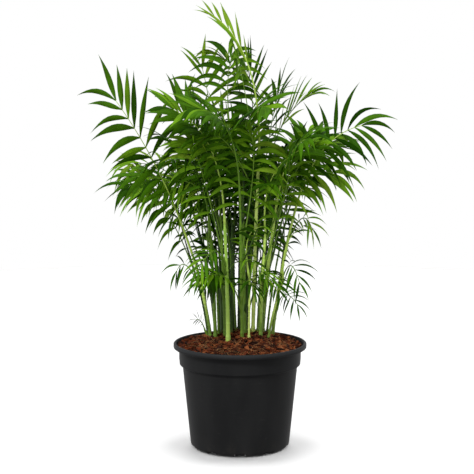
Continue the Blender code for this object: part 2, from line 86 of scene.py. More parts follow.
# Stems
CANE_SIDES = 6
CANE_NODES = 4
CANE_TAPER = 0.60
NODE_SWELL = 1.14
FOOT_FLARE = 1.35
FOOT_SHARE = 0.035
STEM_SIDES = 14
STEM_RINGS = 9
NODE_STEP = 0.00028
NODE_DIP = 0.00012
SHEATH_THICK = 0.00035

# Fronds
GOLDEN_ANGLE = math.radians(137.5)
STALK_RADIUS = 0.0015
RIB_TIP_RADIUS = 0.0007
STALK_STEPS = 5
JOINT_ANGLE = math.radians(11.0)
LEAF_FOOT = 0.0032
LEAF_WIDTH_SHARE = 0.135
LEAF_KEEL_SHARE = 0.022
LEAF_WAIST = 0.42
LEAF_ANGLE_LOW = math.radians(68.0)
LEAF_ANGLE_TIP = math.radians(20.0)
LEAF_ANGLE_LEAST = math.radians(4.0)
LEAF_ANGLE_STRAY = math.radians(9.0)
LEAF_LENGTH_STRAY = 0.11
LEAF_DROOP_STRAY = 0.24
STALK_SIDES = 8
STALK_RINGS = 22

# A leaflet's half breadth at shares of its length, and the places across it that have a point.
LEAF_OUTLINE = (
    (0.00, 0.20), (0.06, 0.34), (0.16, 0.68), (0.27, 0.92), (0.38, 1.00), (0.50, 0.94),
    (0.63, 0.74), (0.76, 0.47), (0.87, 0.23), (0.95, 0.09), (1.00, 0.01),
)
LEAF_COLUMNS = (-1.0, -0.52, 0.0, 0.52, 1.0)


class Cane(NamedTuple):
    """One stem: where it leaves the soil, where its crown is, and its radius above the foot."""

    foot: tuple
    crown: tuple
    radius: float = 0.0030


class Frond(NamedTuple):
    """One frond, from the share of its cane's length where the stalk leaves to the tip of its rib."""

    cane: int
    joint: float
    tip: tuple
    rise: float
    turn: float = 0.0
    pairs: int = 8
    leaflet: float = 0.062
    droop: float = 0.5
    blade: float = 0.155
    spread: float = 1.0
    lift: float = 0.12


class Leaflet(NamedTuple):
    """Where a leaflet leaves its rib, and its middle line: waist, tip, half breadth and upper side."""

    foot: Vector
    waist: Vector
    tip: Vector
    half: Vector
    keel: Vector


def metres(lengths):
    return tuple(length / 1000.0 for length in lengths)


def canes(*rows):
    """Canes from rows in the order of their fields, with foot and crown in millimetres, radius in metres."""
    return [Cane(metres(foot), metres(crown), radius) for foot, crown, radius in rows]


def fronds(*rows):
    """Fronds from rows in the order of their fields, with tip, rise, leaflet and blade in millimetres."""
    made = []
    for cane, joint, tip, rise, turn, pairs, leaflet, droop, blade, *rest in rows:
        rise, leaflet, blade = metres((rise, leaflet, blade))
        made.append(Frond(cane, joint, metres(tip), rise, turn, pairs, leaflet, droop, blade, *rest))
    return made


# The canes, from the left of the pot to the right, and then those at the back.
CANES = canes(
    ((-43, 26), (-71.5, -4, 290), 0.0025), ((-36, 14), (-44, 4, 330), 0.0028),
    ((-26, 40), (-34, 42, 345), 0.0026), ((-17, -4), (-22, -36, 340), 0.0033),
    ((7, 14), (4, 2, 372), 0.0028), ((19, 21), (26, -50, 420), 0.0029), ((33, 38), (52, -30, 358), 0.0029),
    ((48, 32), (79, -5, 345), 0.0027), ((-10, 56), (-16, 75, 345), 0.0027),
    ((12, 62), (18, 83, 352), 0.0027), ((34, 60), (54, 80, 320), 0.0027),
    ((-36, 58), (-60, 76, 300), 0.0027), ((3, 0), (0, -62, 372), 0.0024), ((1, 34), (2, 37, 385), 0.0030),
    ((-22, 18), (-29, 12, 350), 0.0025), ((19, 47), (31, 50, 340), 0.0026),
    ((30, 10), (36, -22, 312), 0.0026),
)

# Slender young stems between the canes, too many for the model.
SHOOTS = canes(
    ((-31, 27), (-36, 22, 262), 0.0021), ((-12, 18), (-12, 10, 300), 0.0020),
    ((12, 30), (14, 22, 330), 0.0021), ((26, 40), (36, 34, 300), 0.0020), ((42, 18), (62, 0, 240), 0.0020),
    ((-20, 52), (-28, 60, 290), 0.0021), ((3, 48), (6, 56, 320), 0.0021),
    ((-47, 42), (-68, 50, 250), 0.0019), ((13, 2), (14, -16, 245), 0.0018),
    ((-6, 26), (-20, 30, 330), 0.0018), ((26, 26), (40, 16, 320), 0.0018),
    ((10, 44), (24, 50, 330), 0.0018), ((-14, 36), (-6, 40, 340), 0.0019),
    ((40, 46), (66, 40, 320), 0.0018), ((-28, 50), (-40, 52, 330), 0.0022),
    ((-14, 46), (-18, 48, 340), 0.0023), ((-2, 62), (0, 66, 330), 0.0022), ((9, 52), (12, 62, 345), 0.0022),
    ((20, 60), (30, 66, 335), 0.0023), ((30, 52), (42, 52, 325), 0.0022), ((12, 36), (20, 34, 340), 0.0020),
    ((-8, 38), (-10, 26, 320), 0.0019),
)
STEMS = CANES + SHOOTS

# The fronds that give the crown its outline, as they are seen from the front.
OUTLINE_FRONDS = fronds(
    # upper left and upper right, spread towards the viewer
    (0, 1.0, (-170, -85, 504), 132, 78, 11, 82, 0.4, 180),
    (7, 1.0, (170, -60, 468), 116, -84, 10, 70, 0.7, 195),
    # the folded young frond at the very top, and those beside it
    (5, 1.0, (-37, -30, 619), 160, 60, 5, 56, 0.0, 105, 0.1, 0.03),
    (9, 1.0, (12, 45, 543), 140, -50, 8, 68, 0.1, 150, 0.86),
    (14, 1.0, (-54, 10, 548), 125, 66, 9, 64, 0.35, 165, 0.9),
    (3, 1.0, (-92, -75, 490), 125, 56, 9, 70, 0.4, 150),
    (15, 1.0, (98, -15, 508), 135, -55, 7, 66, 0.1, 115, 0.36),
    (6, 1.0, (88, -100, 450), 90, -42, 9, 62, 0.65, 115),
    # middle left
    (1, 1.0, (-136, -30, 375), 85, 40, 9, 60, 1.0, 155),
    (11, 1.0, (-158, 40, 408), 120, 45, 8, 66, 0.95, 165),
    (2, 1.0, (-98, 0, 335), 60, 30, 7, 46, 1.2, 100),
    # middle right
    (6, 0.9, (130, -30, 400), 80, -55, 7, 66, 0.95, 140),
    (10, 1.0, (142, 50, 408), 100, -45, 8, 58, 0.7, 140),
    (7, 0.84, (104, -10, 316), 45, -45, 6, 36, 0.7, 76),
    # over the middle, towards the viewer
    (4, 1.0, (34, -105, 494), 130, -36, 8, 70, 0.38, 120),
    (12, 1.0, (-56, -115, 492), 120, 40, 9, 66, 0.45, 125),
    # the small ones low on the canes
    (0, 0.64, (-92, 0, 254), 50, 50, 5, 36, 0.9, 70),
    (3, 0.6, (-60, -55, 262), 55, 20, 6, 42, 0.8, 80),
    (7, 0.48, (86, -15, 238), 45, -40, 6, 38, 0.9, 70),
    (7, 0.26, (84, -20, 208), 35, -35, 5, 34, 0.8, 60),
    (12, 0.46, (36, -65, 256), 50, 15, 6, 42, 0.9, 78),
    (8, 0.28, (-62, 40, 234), 55, 25, 6, 38, 0.85, 76),
)

# The rest fill the crown by a rule: golden-angle steps round it, with tips between two heights.
FILL_COUNT = 27
FROND_LIMIT = 41
FILL_START = math.radians(200.0)
FILL_LOW = 0.320
FILL_HIGH = 0.530
FILL_SIDE_FALL = 0.085
FILL_FRONT_RISE = 0.125
FILL_REACH = 0.088
FILL_REACH_SWELL = 0.085
FILL_CENTRE = (0.005, 0.012)
FILL_BACK_STRETCH = 1.05
FILL_FRONT_STRETCH = 0.75
FILL_LEVEL_START = 0.37
GOLDEN_SHARE = 0.618
GOLDEN_REST = 0.382
FILL_CROWDING = 0.045
FILL_TOP_JOINT = 0.96
FILL_JOINT_STEP = 0.15
FILL_RISE_SHARE = 0.75
FILL_RISE_MORE = 0.035
FILL_RISE_LEAST = 0.045
FILL_TURN = 52.0
FILL_PAIRS = 8
FILL_LEAFLET = 0.056
FILL_LEAFLET_SWELL = 0.008
FILL_DROOP = 0.85
FILL_DROOP_FALL = 0.35


# Making pieces


class Stock:
    """The points and faces of one piece while it is made, with each point's share along and across."""

    def __init__(self):
        self.points = []
        self.faces = []
        self.shares = []

    def lay(self, rows, closed=False, ends=False):
        """Faces between rows of points. Closed rows are rings, and ends closes the first and the last."""
        first = len(self.points)
        count = len(rows[0])
        for r, row in enumerate(rows):
            self.points += row
            self.shares += [(r / (len(rows) - 1), k / (count - (0 if closed else 1))) for k in range(count)]
        for r in range(len(rows) - 1):
            low = first + r * count
            for k in range(count if closed else count - 1):
                after = (k + 1) % count
                self.faces.append((low + k, low + after, low + count + after, low + count + k))
        if ends:
            self.faces.append(tuple(reversed(range(first, first + count))))
            self.faces.append(tuple(range(len(self.points) - count, len(self.points))))

    def add(self, points, faces):
        first = len(self.points)
        self.points += points
        self.shares += [(0.5, 0.5)] * len(points)
        self.faces += [tuple(first + index for index in face) for face in faces]

    def piece(self, name, finish, slot, nodes=(), sharp=None):
        mesh = bpy.data.meshes.new(name)
        mesh.from_pydata([tuple(p) for p in self.points], [], self.faces)
        mesh.materials.append(finish)
        layer = mesh.uv_layers.new(name="shares")
        corners = [0] * len(mesh.loops)
        mesh.loops.foreach_get("vertex_index", corners)
        layer.data.foreach_set("uv", [share for corner in corners for share in self.shares[corner]])
        mesh.shade_smooth()
        if sharp is not None:
            mesh.set_sharp_from_angle(angle=math.radians(sharp))
        obj = bpy.data.objects.new(name, mesh)
        bpy.context.scene.collection.objects.link(obj)
        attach(obj, "root")
        if nodes:
            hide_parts(*nodes)


def ring(centre, side, up, radius, count, flat_top=1.0):
    """A ring of points, whose upper half can be flattened."""
    row = []
    for k in range(count):
        angle = 2.0 * math.pi * k / count
        rise = math.sin(angle)
        rise *= flat_top if rise > 0.0 else 1.0
        row.append(centre + side * (radius * math.cos(angle)) + up * (radius * rise))
    return row


def tube(rows, ends):
    """Points and faces of a skin round rings of points."""
    skin = Stock()
    skin.lay(rows, closed=True, ends=ends)
    return skin.points, skin.faces


# The growing rule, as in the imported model


def soil_height(x, y):
    """Height of the soil: a flat edge, the root ball's mound, and a slight ripple."""
    away = math.hypot(x - MOUND_CENTRE[0], y - MOUND_CENTRE[1]) / MOUND_SPREAD
    edge = min(1.0, math.hypot(x, y) / (COLLAR_RADIUS - WALL))
    mound = MOUND_HEIGHT * math.exp(-away * away) * (1.0 - edge**4)
    return SOIL_EDGE + mound + SOIL_RIPPLE * math.sin(170.0 * x + 1.0) * math.cos(150.0 * y)


def quadratic(a, b, c, t):
    return a * (1.0 - t) ** 2 + b * (2.0 * t * (1.0 - t)) + c * t**2


def heading(a, b, c, t):
    return ((b - a) * (1.0 - t) + (c - b) * t).normalized()


def across(direction, hint):
    """The unit vector nearest to the hint that is square to the direction."""
    return (hint - direction * hint.dot(direction)).normalized()


def cane_curve(cane):
    """Foot, bend and crown of a cane: it leaves the soil upright and then leans to its crown."""
    x, y = cane.foot
    reach = cane.radius * FOOT_FLARE
    ground = max(
        soil_height(x + reach * math.cos(k * math.pi / 4.0), y + reach * math.sin(k * math.pi / 4.0))
        for k in range(8)
    )
    foot = Vector((x, y, ground + 2.0 * CLEARANCE))
    crown = Vector(cane.crown)
    bend = Vector((x, y, foot.z)).lerp(crown, 0.5) - Vector((crown.x - x, crown.y - y, 0.0)) * 0.22
    return foot, bend, crown


def cane_radius(cane, share):
    return cane.radius * (1.0 + (CANE_TAPER - 1.0) * share)


def cane_rings(cane):
    """Each ring's share of the cane's length, and its radius: the foot's flare, and the swollen nodes."""
    rings = [(0.0, cane.radius * FOOT_FLARE), (FOOT_SHARE, cane.radius)]
    for k in range(1, CANE_NODES + 1):
        share = k / (CANE_NODES + 0.6)
        rings.append((share - 0.5 / (CANE_NODES + 0.6), cane_radius(cane, share)))
        rings.append((share, cane_radius(cane, share) * NODE_SWELL))
    rings.append((1.0, cane_radius(cane, 1.0)))
    return rings


def cane_surface(cane, share):
    """Radius of the cane between the two rings that a share of its length lies between."""
    rings = cane_rings(cane)
    for (low, near), (high, far) in zip(rings, rings[1:]):
        if share <= high:
            return near + (far - near) * (share - low) / (high - low)
    return rings[-1][1]


def cane_body(cane):
    """Points and faces of a cane as the model has it."""
    curve = cane_curve(cane)
    rows = []
    for share, radius in cane_rings(cane):
        # The first ring lies flat, so that the cane has a level cut at the ground.
        along = UP if share == 0.0 else heading(*curve, share)
        side = across(along, EAST)
        rows.append(ring(quadratic(*curve, share), side, along.cross(side), radius, CANE_SIDES))
    return tube(rows, ends=True)


def fill_fronds():
    """The fronds inside and behind the outline, dealt out to the canes that bear fewest."""
    borne = [sum(frond.cane == k for frond in OUTLINE_FRONDS) for k in range(len(CANES))]
    made = []
    for k in range(FILL_COUNT):
        angle = FILL_START + k * GOLDEN_ANGLE
        level = (FILL_LEVEL_START + k * GOLDEN_SHARE) % 1.0
        reach = FILL_REACH + FILL_REACH_SWELL * math.sin(0.90 * math.pi * level)
        x = FILL_CENTRE[0] + reach * math.cos(angle)
        stretch = FILL_BACK_STRETCH if math.sin(angle) > 0.0 else FILL_FRONT_STRETCH
        y = FILL_CENTRE[1] + reach * stretch * math.sin(angle)
        low = FILL_LOW + FILL_FRONT_RISE * max(0.0, -math.sin(angle))
        high = FILL_HIGH - FILL_SIDE_FALL * abs(math.cos(angle))
        height = low + (high - low) * level

        def cost(index):
            crown = CANES[index].crown
            return FILL_CROWDING * borne[index] + math.hypot(crown[0] - x, crown[1] - y)

        cane = min(range(len(CANES)), key=cost)
        borne[cane] += 1
        joint = FILL_TOP_JOINT - FILL_JOINT_STEP * (borne[cane] - 1)
        start = SOIL_EDGE + joint * (CANES[cane].crown[2] - SOIL_EDGE)
        rise = max(FILL_RISE_LEAST, FILL_RISE_SHARE * (height - start) + FILL_RISE_MORE)
        turn = FILL_TURN * math.sin(3.0 * k + 1.0)
        leaflet = FILL_LEAFLET + FILL_LEAFLET_SWELL * level
        droop = FILL_DROOP - FILL_DROOP_FALL * level
        made.append(Frond(cane, joint, (x, y, height), rise, turn, FILL_PAIRS, leaflet, droop))
    return made


def frond_curve(frond, sway):
    """Start, bend and tip of a frond, which starts a clearance off the cane's side, or off its top end."""
    cane = STEMS[frond.cane]
    path = cane_curve(cane)
    on_top = frond.joint >= 1.0
    seat = quadratic(*path, frond.joint)
    tip = Vector(frond.tip)
    along = heading(*path, frond.joint)
    outward = across(along, tip - seat)
    lean = 0.0 if on_top else JOINT_ANGLE
    arch = (along * math.cos(lean) + outward * math.sin(lean)) * frond.rise
    arch += outward.cross(along) * sway[0] + outward * sway[1]
    away = along if on_top else outward
    surface = 0.0 if on_top else cane_surface(cane, frond.joint)
    _, _, side, up = frond_frame(frond, (seat, seat + arch, tip), 0.0)
    reach = max(-corner.dot(away) for corner in rib_corners(side, up, STALK_RADIUS))
    start = seat + away * (surface + reach + 1.2 * CLEARANCE)
    return start, start + arch, tip


def frond_frame(frond, curve, t):
    """Centre, direction, side and upper face of a frond at t, rolled about its rib by the frond's turn."""
    along = heading(*curve, t)
    spread = curve[2] - curve[0]
    side = across(along, spread.cross(UP))
    up = side.cross(along)
    turn = math.radians(frond.turn)
    return (
        quadratic(*curve, t),
        along,
        side * math.cos(turn) + up * math.sin(turn),
        up * math.cos(turn) - side * math.sin(turn),
    )


def rib_corners(side, up, radius):
    """The rib's section: two corners along its upper edges, and one on its keel."""
    return (up * (0.5 * radius) - side * radius, up * (0.5 * radius) + side * radius, up * -radius)


def rib_radius(t):
    return STALK_RADIUS + (RIB_TIP_RADIUS - STALK_RADIUS) * t**0.8


def blade_span(frond, curve):
    """Share of the rib that is bare, share that bears leaflets, and half a leaflet's foot on the same scale."""
    length = sum((quadratic(*curve, (k + 1) / 16) - quadratic(*curve, k / 16)).length for k in range(16))
    blade = min(0.75, frond.blade / length)
    return 1.0 - blade, blade, 0.5 * LEAF_FOOT / length


def pair_place(bare, blade, half, share):
    return bare + (blade - 2.5 * half) * share**0.92 + half


def rib_stations(frond, curve):
    """Shares of the rib at which it has a ring. Each leaflet pair stands between two of them."""
    bare, blade, half = blade_span(frond, curve)
    stations = [bare * k / STALK_STEPS for k in range(STALK_STEPS)]
    pairs = []
    for k in range(frond.pairs):
        t = pair_place(bare, blade, half, k / (frond.pairs - 1))
        pairs.append(len(stations))
        stations += [t - half, t + half]
    return stations, pairs


def leaf_shares(frond, share):
    """Length and opening angle of a leaflet at a share of the blade, from its foot to its tip."""
    length = frond.leaflet * (0.66 + 0.34 * math.sin(math.pi * (0.12 + 0.80 * (1.0 - share))) ** 0.8)
    angle = (LEAF_ANGLE_LOW + (LEAF_ANGLE_TIP - LEAF_ANGLE_LOW) * share**2.4) * frond.spread
    return length, angle


def leaf_spine(frond, grain, foot, hand, share, stray, trial):
    """Waist and tip of one leaflet's middle line, with its half width and its keel as vectors."""
    _, along, side, up = grain
    swing, sink, scale = trial
    length, angle = leaf_shares(frond, share)
    length *= scale * (1.0 + LEAF_LENGTH_STRAY * stray[0])
    angle = max(LEAF_ANGLE_LEAST, angle + LEAF_ANGLE_STRAY * frond.spread * stray[1] + math.radians(swing))
    droop = frond.droop + LEAF_DROOP_STRAY * stray[2] + sink
    out = (along * math.cos(angle) + side * (hand * math.sin(angle)) + up * frond.lift).normalized()
    near = (out - UP * (0.30 * droop)).normalized()
    far = (out - UP * droop).normalized()
    waist = foot + near * (length * LEAF_WAIST)
    tip = waist + far * (length * (1.0 - LEAF_WAIST))
    width = across(near, along - side * (hand * 0.3))
    keel = near.cross(width) * hand
    half = 0.5 * LEAF_WIDTH_SHARE * length / max(0.75, scale)
    depth = LEAF_KEEL_SHARE * length + 0.0002
    return waist, tip, width * half, keel * depth


LEAF_FACES = (
    (0, 1, 4), (0, 4, 3), (1, 2, 5), (1, 5, 4), (2, 0, 3), (2, 3, 5), (3, 4, 6), (4, 5, 6), (5, 3, 6),
)


def leaf_points(spine):
    """The three points of a leaflet's waist, and its tip."""
    waist, tip, half, keel = spine
    return [waist - half, waist + half, waist - keel, tip]


def trial_leaf(foot, belly, grain, spine, start_share):
    """A slightly fatter copy of the leaflet, from a share of its near half on, to test for touching."""
    waist, tip, half, keel = spine
    _, along, _, _ = grain
    grown = 1.0 + 2.0 * CLEARANCE / half.length
    rise = keel.normalized() * CLEARANCE
    start = foot.lerp(waist, start_share)
    under = belly.lerp(waist - keel, start_share)
    inner = along * (0.5 * LEAF_FOOT)
    points = [
        start - inner + rise,
        start + inner + rise,
        under - rise,
        waist - half * grown + rise,
        waist + half * grown + rise,
        waist - keel - rise,
        tip + (tip - waist).normalized() * CLEARANCE,
    ]
    return points, LEAF_FACES


class Thicket(Stock):
    """Everything that stands already, as one search tree."""

    tree = None

    def add(self, points, faces):
        super().add(points, faces)
        self.tree = None

    def hits(self, points, faces):
        if not self.faces:
            return False
        if self.tree is None:
            self.tree = BVHTree.FromPolygons(self.points, self.faces)
        return bool(self.tree.overlap(BVHTree.FromPolygons(points, faces)))


SWAYS = [(0.0, 0.0)] + [
    (reach * math.cos(k * math.pi / 4.0), 0.6 * reach * math.sin(k * math.pi / 4.0))
    for reach in (0.008, 0.016, 0.026, 0.038, 0.052)
    for k in range(8)
]

LEAF_TRIALS = [
    (swing, sink, scale)
    for scale in (1.0, 0.82, 0.62, 0.45)
    for sink in (0.0, 0.22, -0.22, 0.45)
    for swing in (0.0, 7.0, -7.0, 14.0, -14.0)
]


def rib_rings(frond, curve, stations, extra=0.0):
    """The rib's section at each station."""
    rings = []
    for t in stations:
        centre, _, side, up = frond_frame(frond, curve, t)
        rings.append([centre + corner for corner in rib_corners(side, up, rib_radius(t) + extra)])
    return rings


def rib_trial(frond, curve):
    """The whole rib, a little fatter, to test against what stands already."""
    stations, _ = rib_stations(frond, curve)
    rings = rib_rings(frond, curve, stations, 3.0 * CLEARANCE)
    rings[0] = rib_rings(frond, curve, stations[:1])[0]
    return tube(rings, ends=False)


def choose_route(frond, thicket):
    """The first route whose stalk and rib touch nothing, from the joint or from a little below it."""
    for lower in (0.0, 0.05, 0.10, 0.16):
        start = frond if lower == 0.0 else frond._replace(joint=frond.joint - lower)
        for sway in SWAYS:
            curve = frond_curve(start, sway)
            if not thicket.hits(*rib_trial(frond, curve)):
                return curve, start.joint
    return None, 0.0


class Grown(NamedTuple):
    """A frond with the route and the leaflets that it found room for."""

    frond: Frond
    curve: tuple
    joint: float
    leaflets: dict
    number: int


def grow_frond(frond, number, thicket):
    """One frond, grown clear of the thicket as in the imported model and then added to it, or None."""
    chance = random.Random(number)
    curve, joint = choose_route(frond, thicket)
    if curve is None:
        return None
    stations, pairs = rib_stations(frond, curve)
    rings = rib_rings(frond, curve, stations)
    points = [p for row in rings for p in row]
    faces = [(0, 2, 1)]
    own = Thicket()
    leaflets = {}
    starts = {station: k for k, station in enumerate(pairs)}
    for k in range(len(stations) - 1):
        left, right, keel = 3 * k, 3 * k + 1, 3 * k + 2
        left_on, right_on, keel_on = left + 3, right + 3, keel + 3
        faces.append((left, right, right_on, left_on))
        if k not in starts:
            faces += [(right, keel, keel_on, right_on), (keel, left, left_on, keel_on)]
            continue
        share = starts[k] / (frond.pairs - 1)
        grain = frond_frame(frond, curve, 0.5 * (stations[k] + stations[k + 1]))
        belly = len(points)
        points.append((points[keel] + points[keel_on]) * 0.5)
        for hand, near, far in ((-1, left, left_on), (1, right, right_on)):
            foot = (points[near] + points[far]) * 0.5
            stray = [chance.uniform(-1.0, 1.0) for _ in range(3)]
            spine = grow_leaf(frond, grain, foot, points[belly], hand, share, stray, thicket, own)
            if spine is None:
                faces += [(near, belly, keel), (near, far, belly), (far, keel_on, belly)]
                continue
            leaflets[starts[k], hand] = Leaflet(foot, *spine)
            corners = [near, far, belly, *range(len(points), len(points) + 4)]
            points += leaf_points(spine)
            faces += [(near, belly, keel), (far, keel_on, belly)]
            faces += [tuple(corners[c] for c in face) for face in LEAF_FACES]
    last = 3 * (len(stations) - 1)
    faces.append((last, last + 1, last + 2))
    return Grown(frond, curve, joint, leaflets, number), points, faces


def grow_leaf(frond, grain, foot, belly, hand, share, stray, thicket, own):
    """The first shape of a leaflet that touches nothing, or None."""
    for trial in LEAF_TRIALS:
        spine = leaf_spine(frond, grain, foot, hand, share, stray, trial)
        if thicket.hits(*trial_leaf(foot, belly, grain, spine, 0.0)):
            continue
        free_part = trial_leaf(foot, belly, grain, spine, 0.08)
        if own.hits(*free_part):
            continue
        own.add(*free_part)
        return spine
    return None


def grow_palm():
    """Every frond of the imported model, in its order, and the thicket that they make."""
    thicket = Thicket()
    for cane in CANES:
        thicket.add(*cane_body(cane))
    palm = []
    for number, frond in enumerate((*OUTLINE_FRONDS, *fill_fronds())):
        found = grow_frond(frond, number, thicket)
        if found is None or len(palm) == FROND_LIMIT:
            continue
        grown, points, faces = found
        palm.append(grown)
        thicket.add(points, faces)
    return palm, thicket


# Growth that the model leaves out, inside the same reach

# Fronds between those of the outline, where the photograph shows leaves and the model has a gap.
BETWEEN_FRONDS = fronds(
    (14, 0.92, (-88, -20, 495), 120, 60, 8, 62, 0.45, 130),
    (1, 0.9, (-100, -50, 448), 110, 35, 9, 64, 0.6, 130),
    (0, 0.9, (-158, -60, 452), 110, 50, 7, 60, 0.7, 110),
    (15, 0.9, (54, 0, 508), 120, -35, 8, 62, 0.3, 120),
    (16, 1.0, (86, -60, 435), 110, -60, 8, 62, 0.6, 125),
    (5, 0.7, (30, -80, 430), 80, 30, 8, 60, 0.6, 110),
    (13, 1.0, (-30, 6, 564), 165, 15, 9, 58, 0.8, 150),
    (5, 0.96, (-4, -60, 560), 130, 20, 3, 62, 1.6, 45),
    (4, 0.97, (-12, -20, 562), 150, -40, 9, 60, 0.9, 150),
)

# Small ones low between the stems, and a tiny sprout at the left of the soil.
LOW_FRONDS = fronds(
    (12, 0.3, (20, -50, 238), 45, 20, 5, 40, 0.8, 60),
    (6, 0.3, (56, -24, 230), 50, -30, 5, 36, 0.8, 60),
    (14, 0.34, (-44, -12, 242), 45, 35, 5, 40, 0.8, 60),
    (16, 0.5, (44, -40, 248), 45, 10, 5, 36, 0.7, 60),
    (12, 0.24, (-50, -48, 256), 60, 20, 7, 42, 0.9, 72),
    (24, 0.1, (-65, 36, 178), 22, 40, 4, 18, 0.4, 26),
)

# How many of each are tried. One that finds no room is left out.
INNER_COUNT = 30
CORE_COUNT = 18
SPRIG_COUNT = 10
INNER_DEPTH = 0.075

# The first number of each kind. A frond's number seeds its random draws and finds its looks.
SHOOT_FIRST = 100
SHADED_FIRST = 200
SPRIG_FIRST = 300
BETWEEN_FIRST = 400
LOW_FIRST = 500


def shoot_fronds():
    """A small frond on top of each young stem."""
    made = []
    for k, shoot in enumerate(SHOOTS):
        x, y, z = shoot.crown
        angle = math.atan2(y - FILL_CENTRE[1], x - FILL_CENTRE[0]) + 0.5 * math.sin(5.0 * k)
        reach = 0.030 if z < 0.27 else 0.055
        tip = (x + reach * math.cos(angle), y + reach * math.sin(angle), z + 0.110 - reach)
        pairs = 3 if x > 0.030 else 4 if x < -0.035 else 6
        turn = 40.0 * math.sin(4.0 * k)
        leaflet = 0.75 * reach + 0.008
        made.append(Frond(len(CANES) + k, 1.0, tip, 0.070, turn, pairs, leaflet, 0.6, 0.080))
    return made


class Deal(NamedTuple):
    """Golden steps of angle, level and reach: where they start, and how much the reach swells."""

    angle: float
    level: float
    reach: float
    swell: float
    phase: float

    def place(self, k):
        angle = math.radians(self.angle) + k * GOLDEN_ANGLE
        level = (self.level + k * GOLDEN_SHARE) % 1.0
        return angle, level, self.reach + self.swell * ((self.phase + k * GOLDEN_REST) % 1.0)


INNER_DEAL = Deal(60.0, 0.11, 0.025, 0.055, 0.5)
CORE_DEAL = Deal(20.0, 0.29, 0.030, 0.070, 0.15)
SPRIG_DEAL = Deal(210.0, 0.3, 0.026, 0.020, 0.0)


def inner_fronds():
    """Shaded fronds inside the crown, which close the view through it."""
    made = []
    for k in range(INNER_COUNT):
        angle, level, reach = INNER_DEAL.place(k)
        tip = (
            FILL_CENTRE[0] + reach * math.cos(angle),
            INNER_DEPTH + 0.70 * reach * math.sin(angle),
            0.295 + 0.170 * level + 0.30 * max(0.0, reach * abs(math.cos(angle)) - 0.020),
        )
        cane = (5 * k + 2) % len(CANES)
        turn = 65.0 * math.sin(2.3 * k)
        made.append(Frond(cane, 0.50 + 0.32 * level, tip, 0.085, turn, 8, 0.052, 0.65, 0.130))
    return made


def core_fronds():
    """Shaded fronds in the middle of the crown, level with the tops of the stems."""
    made = []
    for k in range(CORE_COUNT):
        angle, level, reach = CORE_DEAL.place(k)
        tip = (
            FILL_CENTRE[0] + 1.15 * reach * math.cos(angle),
            FILL_CENTRE[1] + 0.02 + 0.60 * reach * math.sin(angle),
            0.385 + 0.095 * level,
        )
        cane = (6 * k + 4) % len(CANES)
        turn = 80.0 * math.sin(1.9 * k)
        made.append(Frond(cane, 0.62 + 0.30 * level, tip, 0.075, turn, 8, 0.056, 0.45, 0.120))
    return made


def low_sprigs():
    """Small fronds low between the canes."""
    made = []
    for k in range(SPRIG_COUNT):
        angle, level, reach = SPRIG_DEAL.place(k)
        cane = (7 * k + 1) % len(STEMS)
        joint = 0.22 + 0.50 * level
        seat = quadratic(*cane_curve(STEMS[cane]), joint)
        tip = (seat.x + reach * math.cos(angle), seat.y + reach * math.sin(angle), seat.z + 0.040)
        made.append(Frond(cane, joint, tip, 0.045, 75.0 * math.sin(3.1 * k), 4, 0.034, 0.5, 0.036, 0.8))
    return made


def grow_more(thicket):
    """The young stems, and the extra fronds that find room, grown clear of the model's."""
    for shoot in SHOOTS:
        thicket.add(*cane_body(shoot))
    more = []
    plans = (
        (BETWEEN_FIRST, BETWEEN_FRONDS), (LOW_FIRST, LOW_FRONDS), (SHOOT_FIRST, shoot_fronds()),
        (SHADED_FIRST, [*inner_fronds(), *core_fronds()]), (SPRIG_FIRST, low_sprigs()),
    )
    for first, planned in plans:
        for k, frond in enumerate(planned):
            found = grow_frond(frond, first + k, thicket)
            if found is not None:
                more.append(found[0])
                thicket.add(*found[1:])
    return more


# Finishes


def operator(operation, swapped=False):
    """Python's operator between two values, as a Math node."""

    def apply(value, other):
        return value.maths(operation, *((other, value) if swapped else (value, other)))

    return apply


class Value:
    """A number or colour that varies over a surface, with Python's own arithmetic."""

    __add__ = __radd__ = operator("ADD")
    __mul__ = __rmul__ = operator("MULTIPLY")
    __sub__ = operator("SUBTRACT")
    __rsub__ = operator("SUBTRACT", True)

    def __init__(self, recipe, socket):
        self.recipe = recipe
        self.socket = socket

    def maths(self, operation, *terms):
        return self.recipe.use("ShaderNodeMath", {"operation": operation}, dict(enumerate(terms)))

    def __abs__(self):
        return self.maths("ABSOLUTE", self)

    def sine(self):
        return self.maths("SINE", self)

    def ramp(self, low, high):
        """0 below low, 1 above high, and smooth between them."""
        settings = {"interpolation_type": "SMOOTHSTEP", "clamp": True}
        return self.recipe.use("ShaderNodeMapRange", settings, {0: self, 1: low, 2: high})

    def out(self, name):
        """Another output of the same node."""
        return Value(self.recipe, self.socket.node.outputs[name])


class Bench:
    """A tree of nodes, and the ways to add to it."""

    def __init__(self, tree):
        self.tree = tree

    def use(self, kind, settings=None, inputs=None):
        """Adds a node: its settings, then its sockets' values or links. Its first output comes back."""
        node = self.tree.nodes.new(kind)
        for name, setting in (settings or {}).items():
            setattr(node, name, setting)
        for name, given in (inputs or {}).items():
            self.feed(node.inputs[name], given)
        return Value(self, node.outputs[0])

    def feed(self, socket, given):
        if isinstance(given, Value):
            self.tree.links.new(given.socket, socket)
        elif isinstance(given, tuple) and len(given) == 3 and socket.type == "RGBA":
            socket.default_value = (*given, 1.0)
        else:
            socket.default_value = given

    def blend(self, mask, first, second):
        """The first colour where the mask is 0, and the second where it is 1."""
        settings = {"data_type": "RGBA", "blend_type": "MIX", "clamp_factor": True}
        return self.use("ShaderNodeMix", settings, {0: mask, 6: first, 7: second}).out(2)


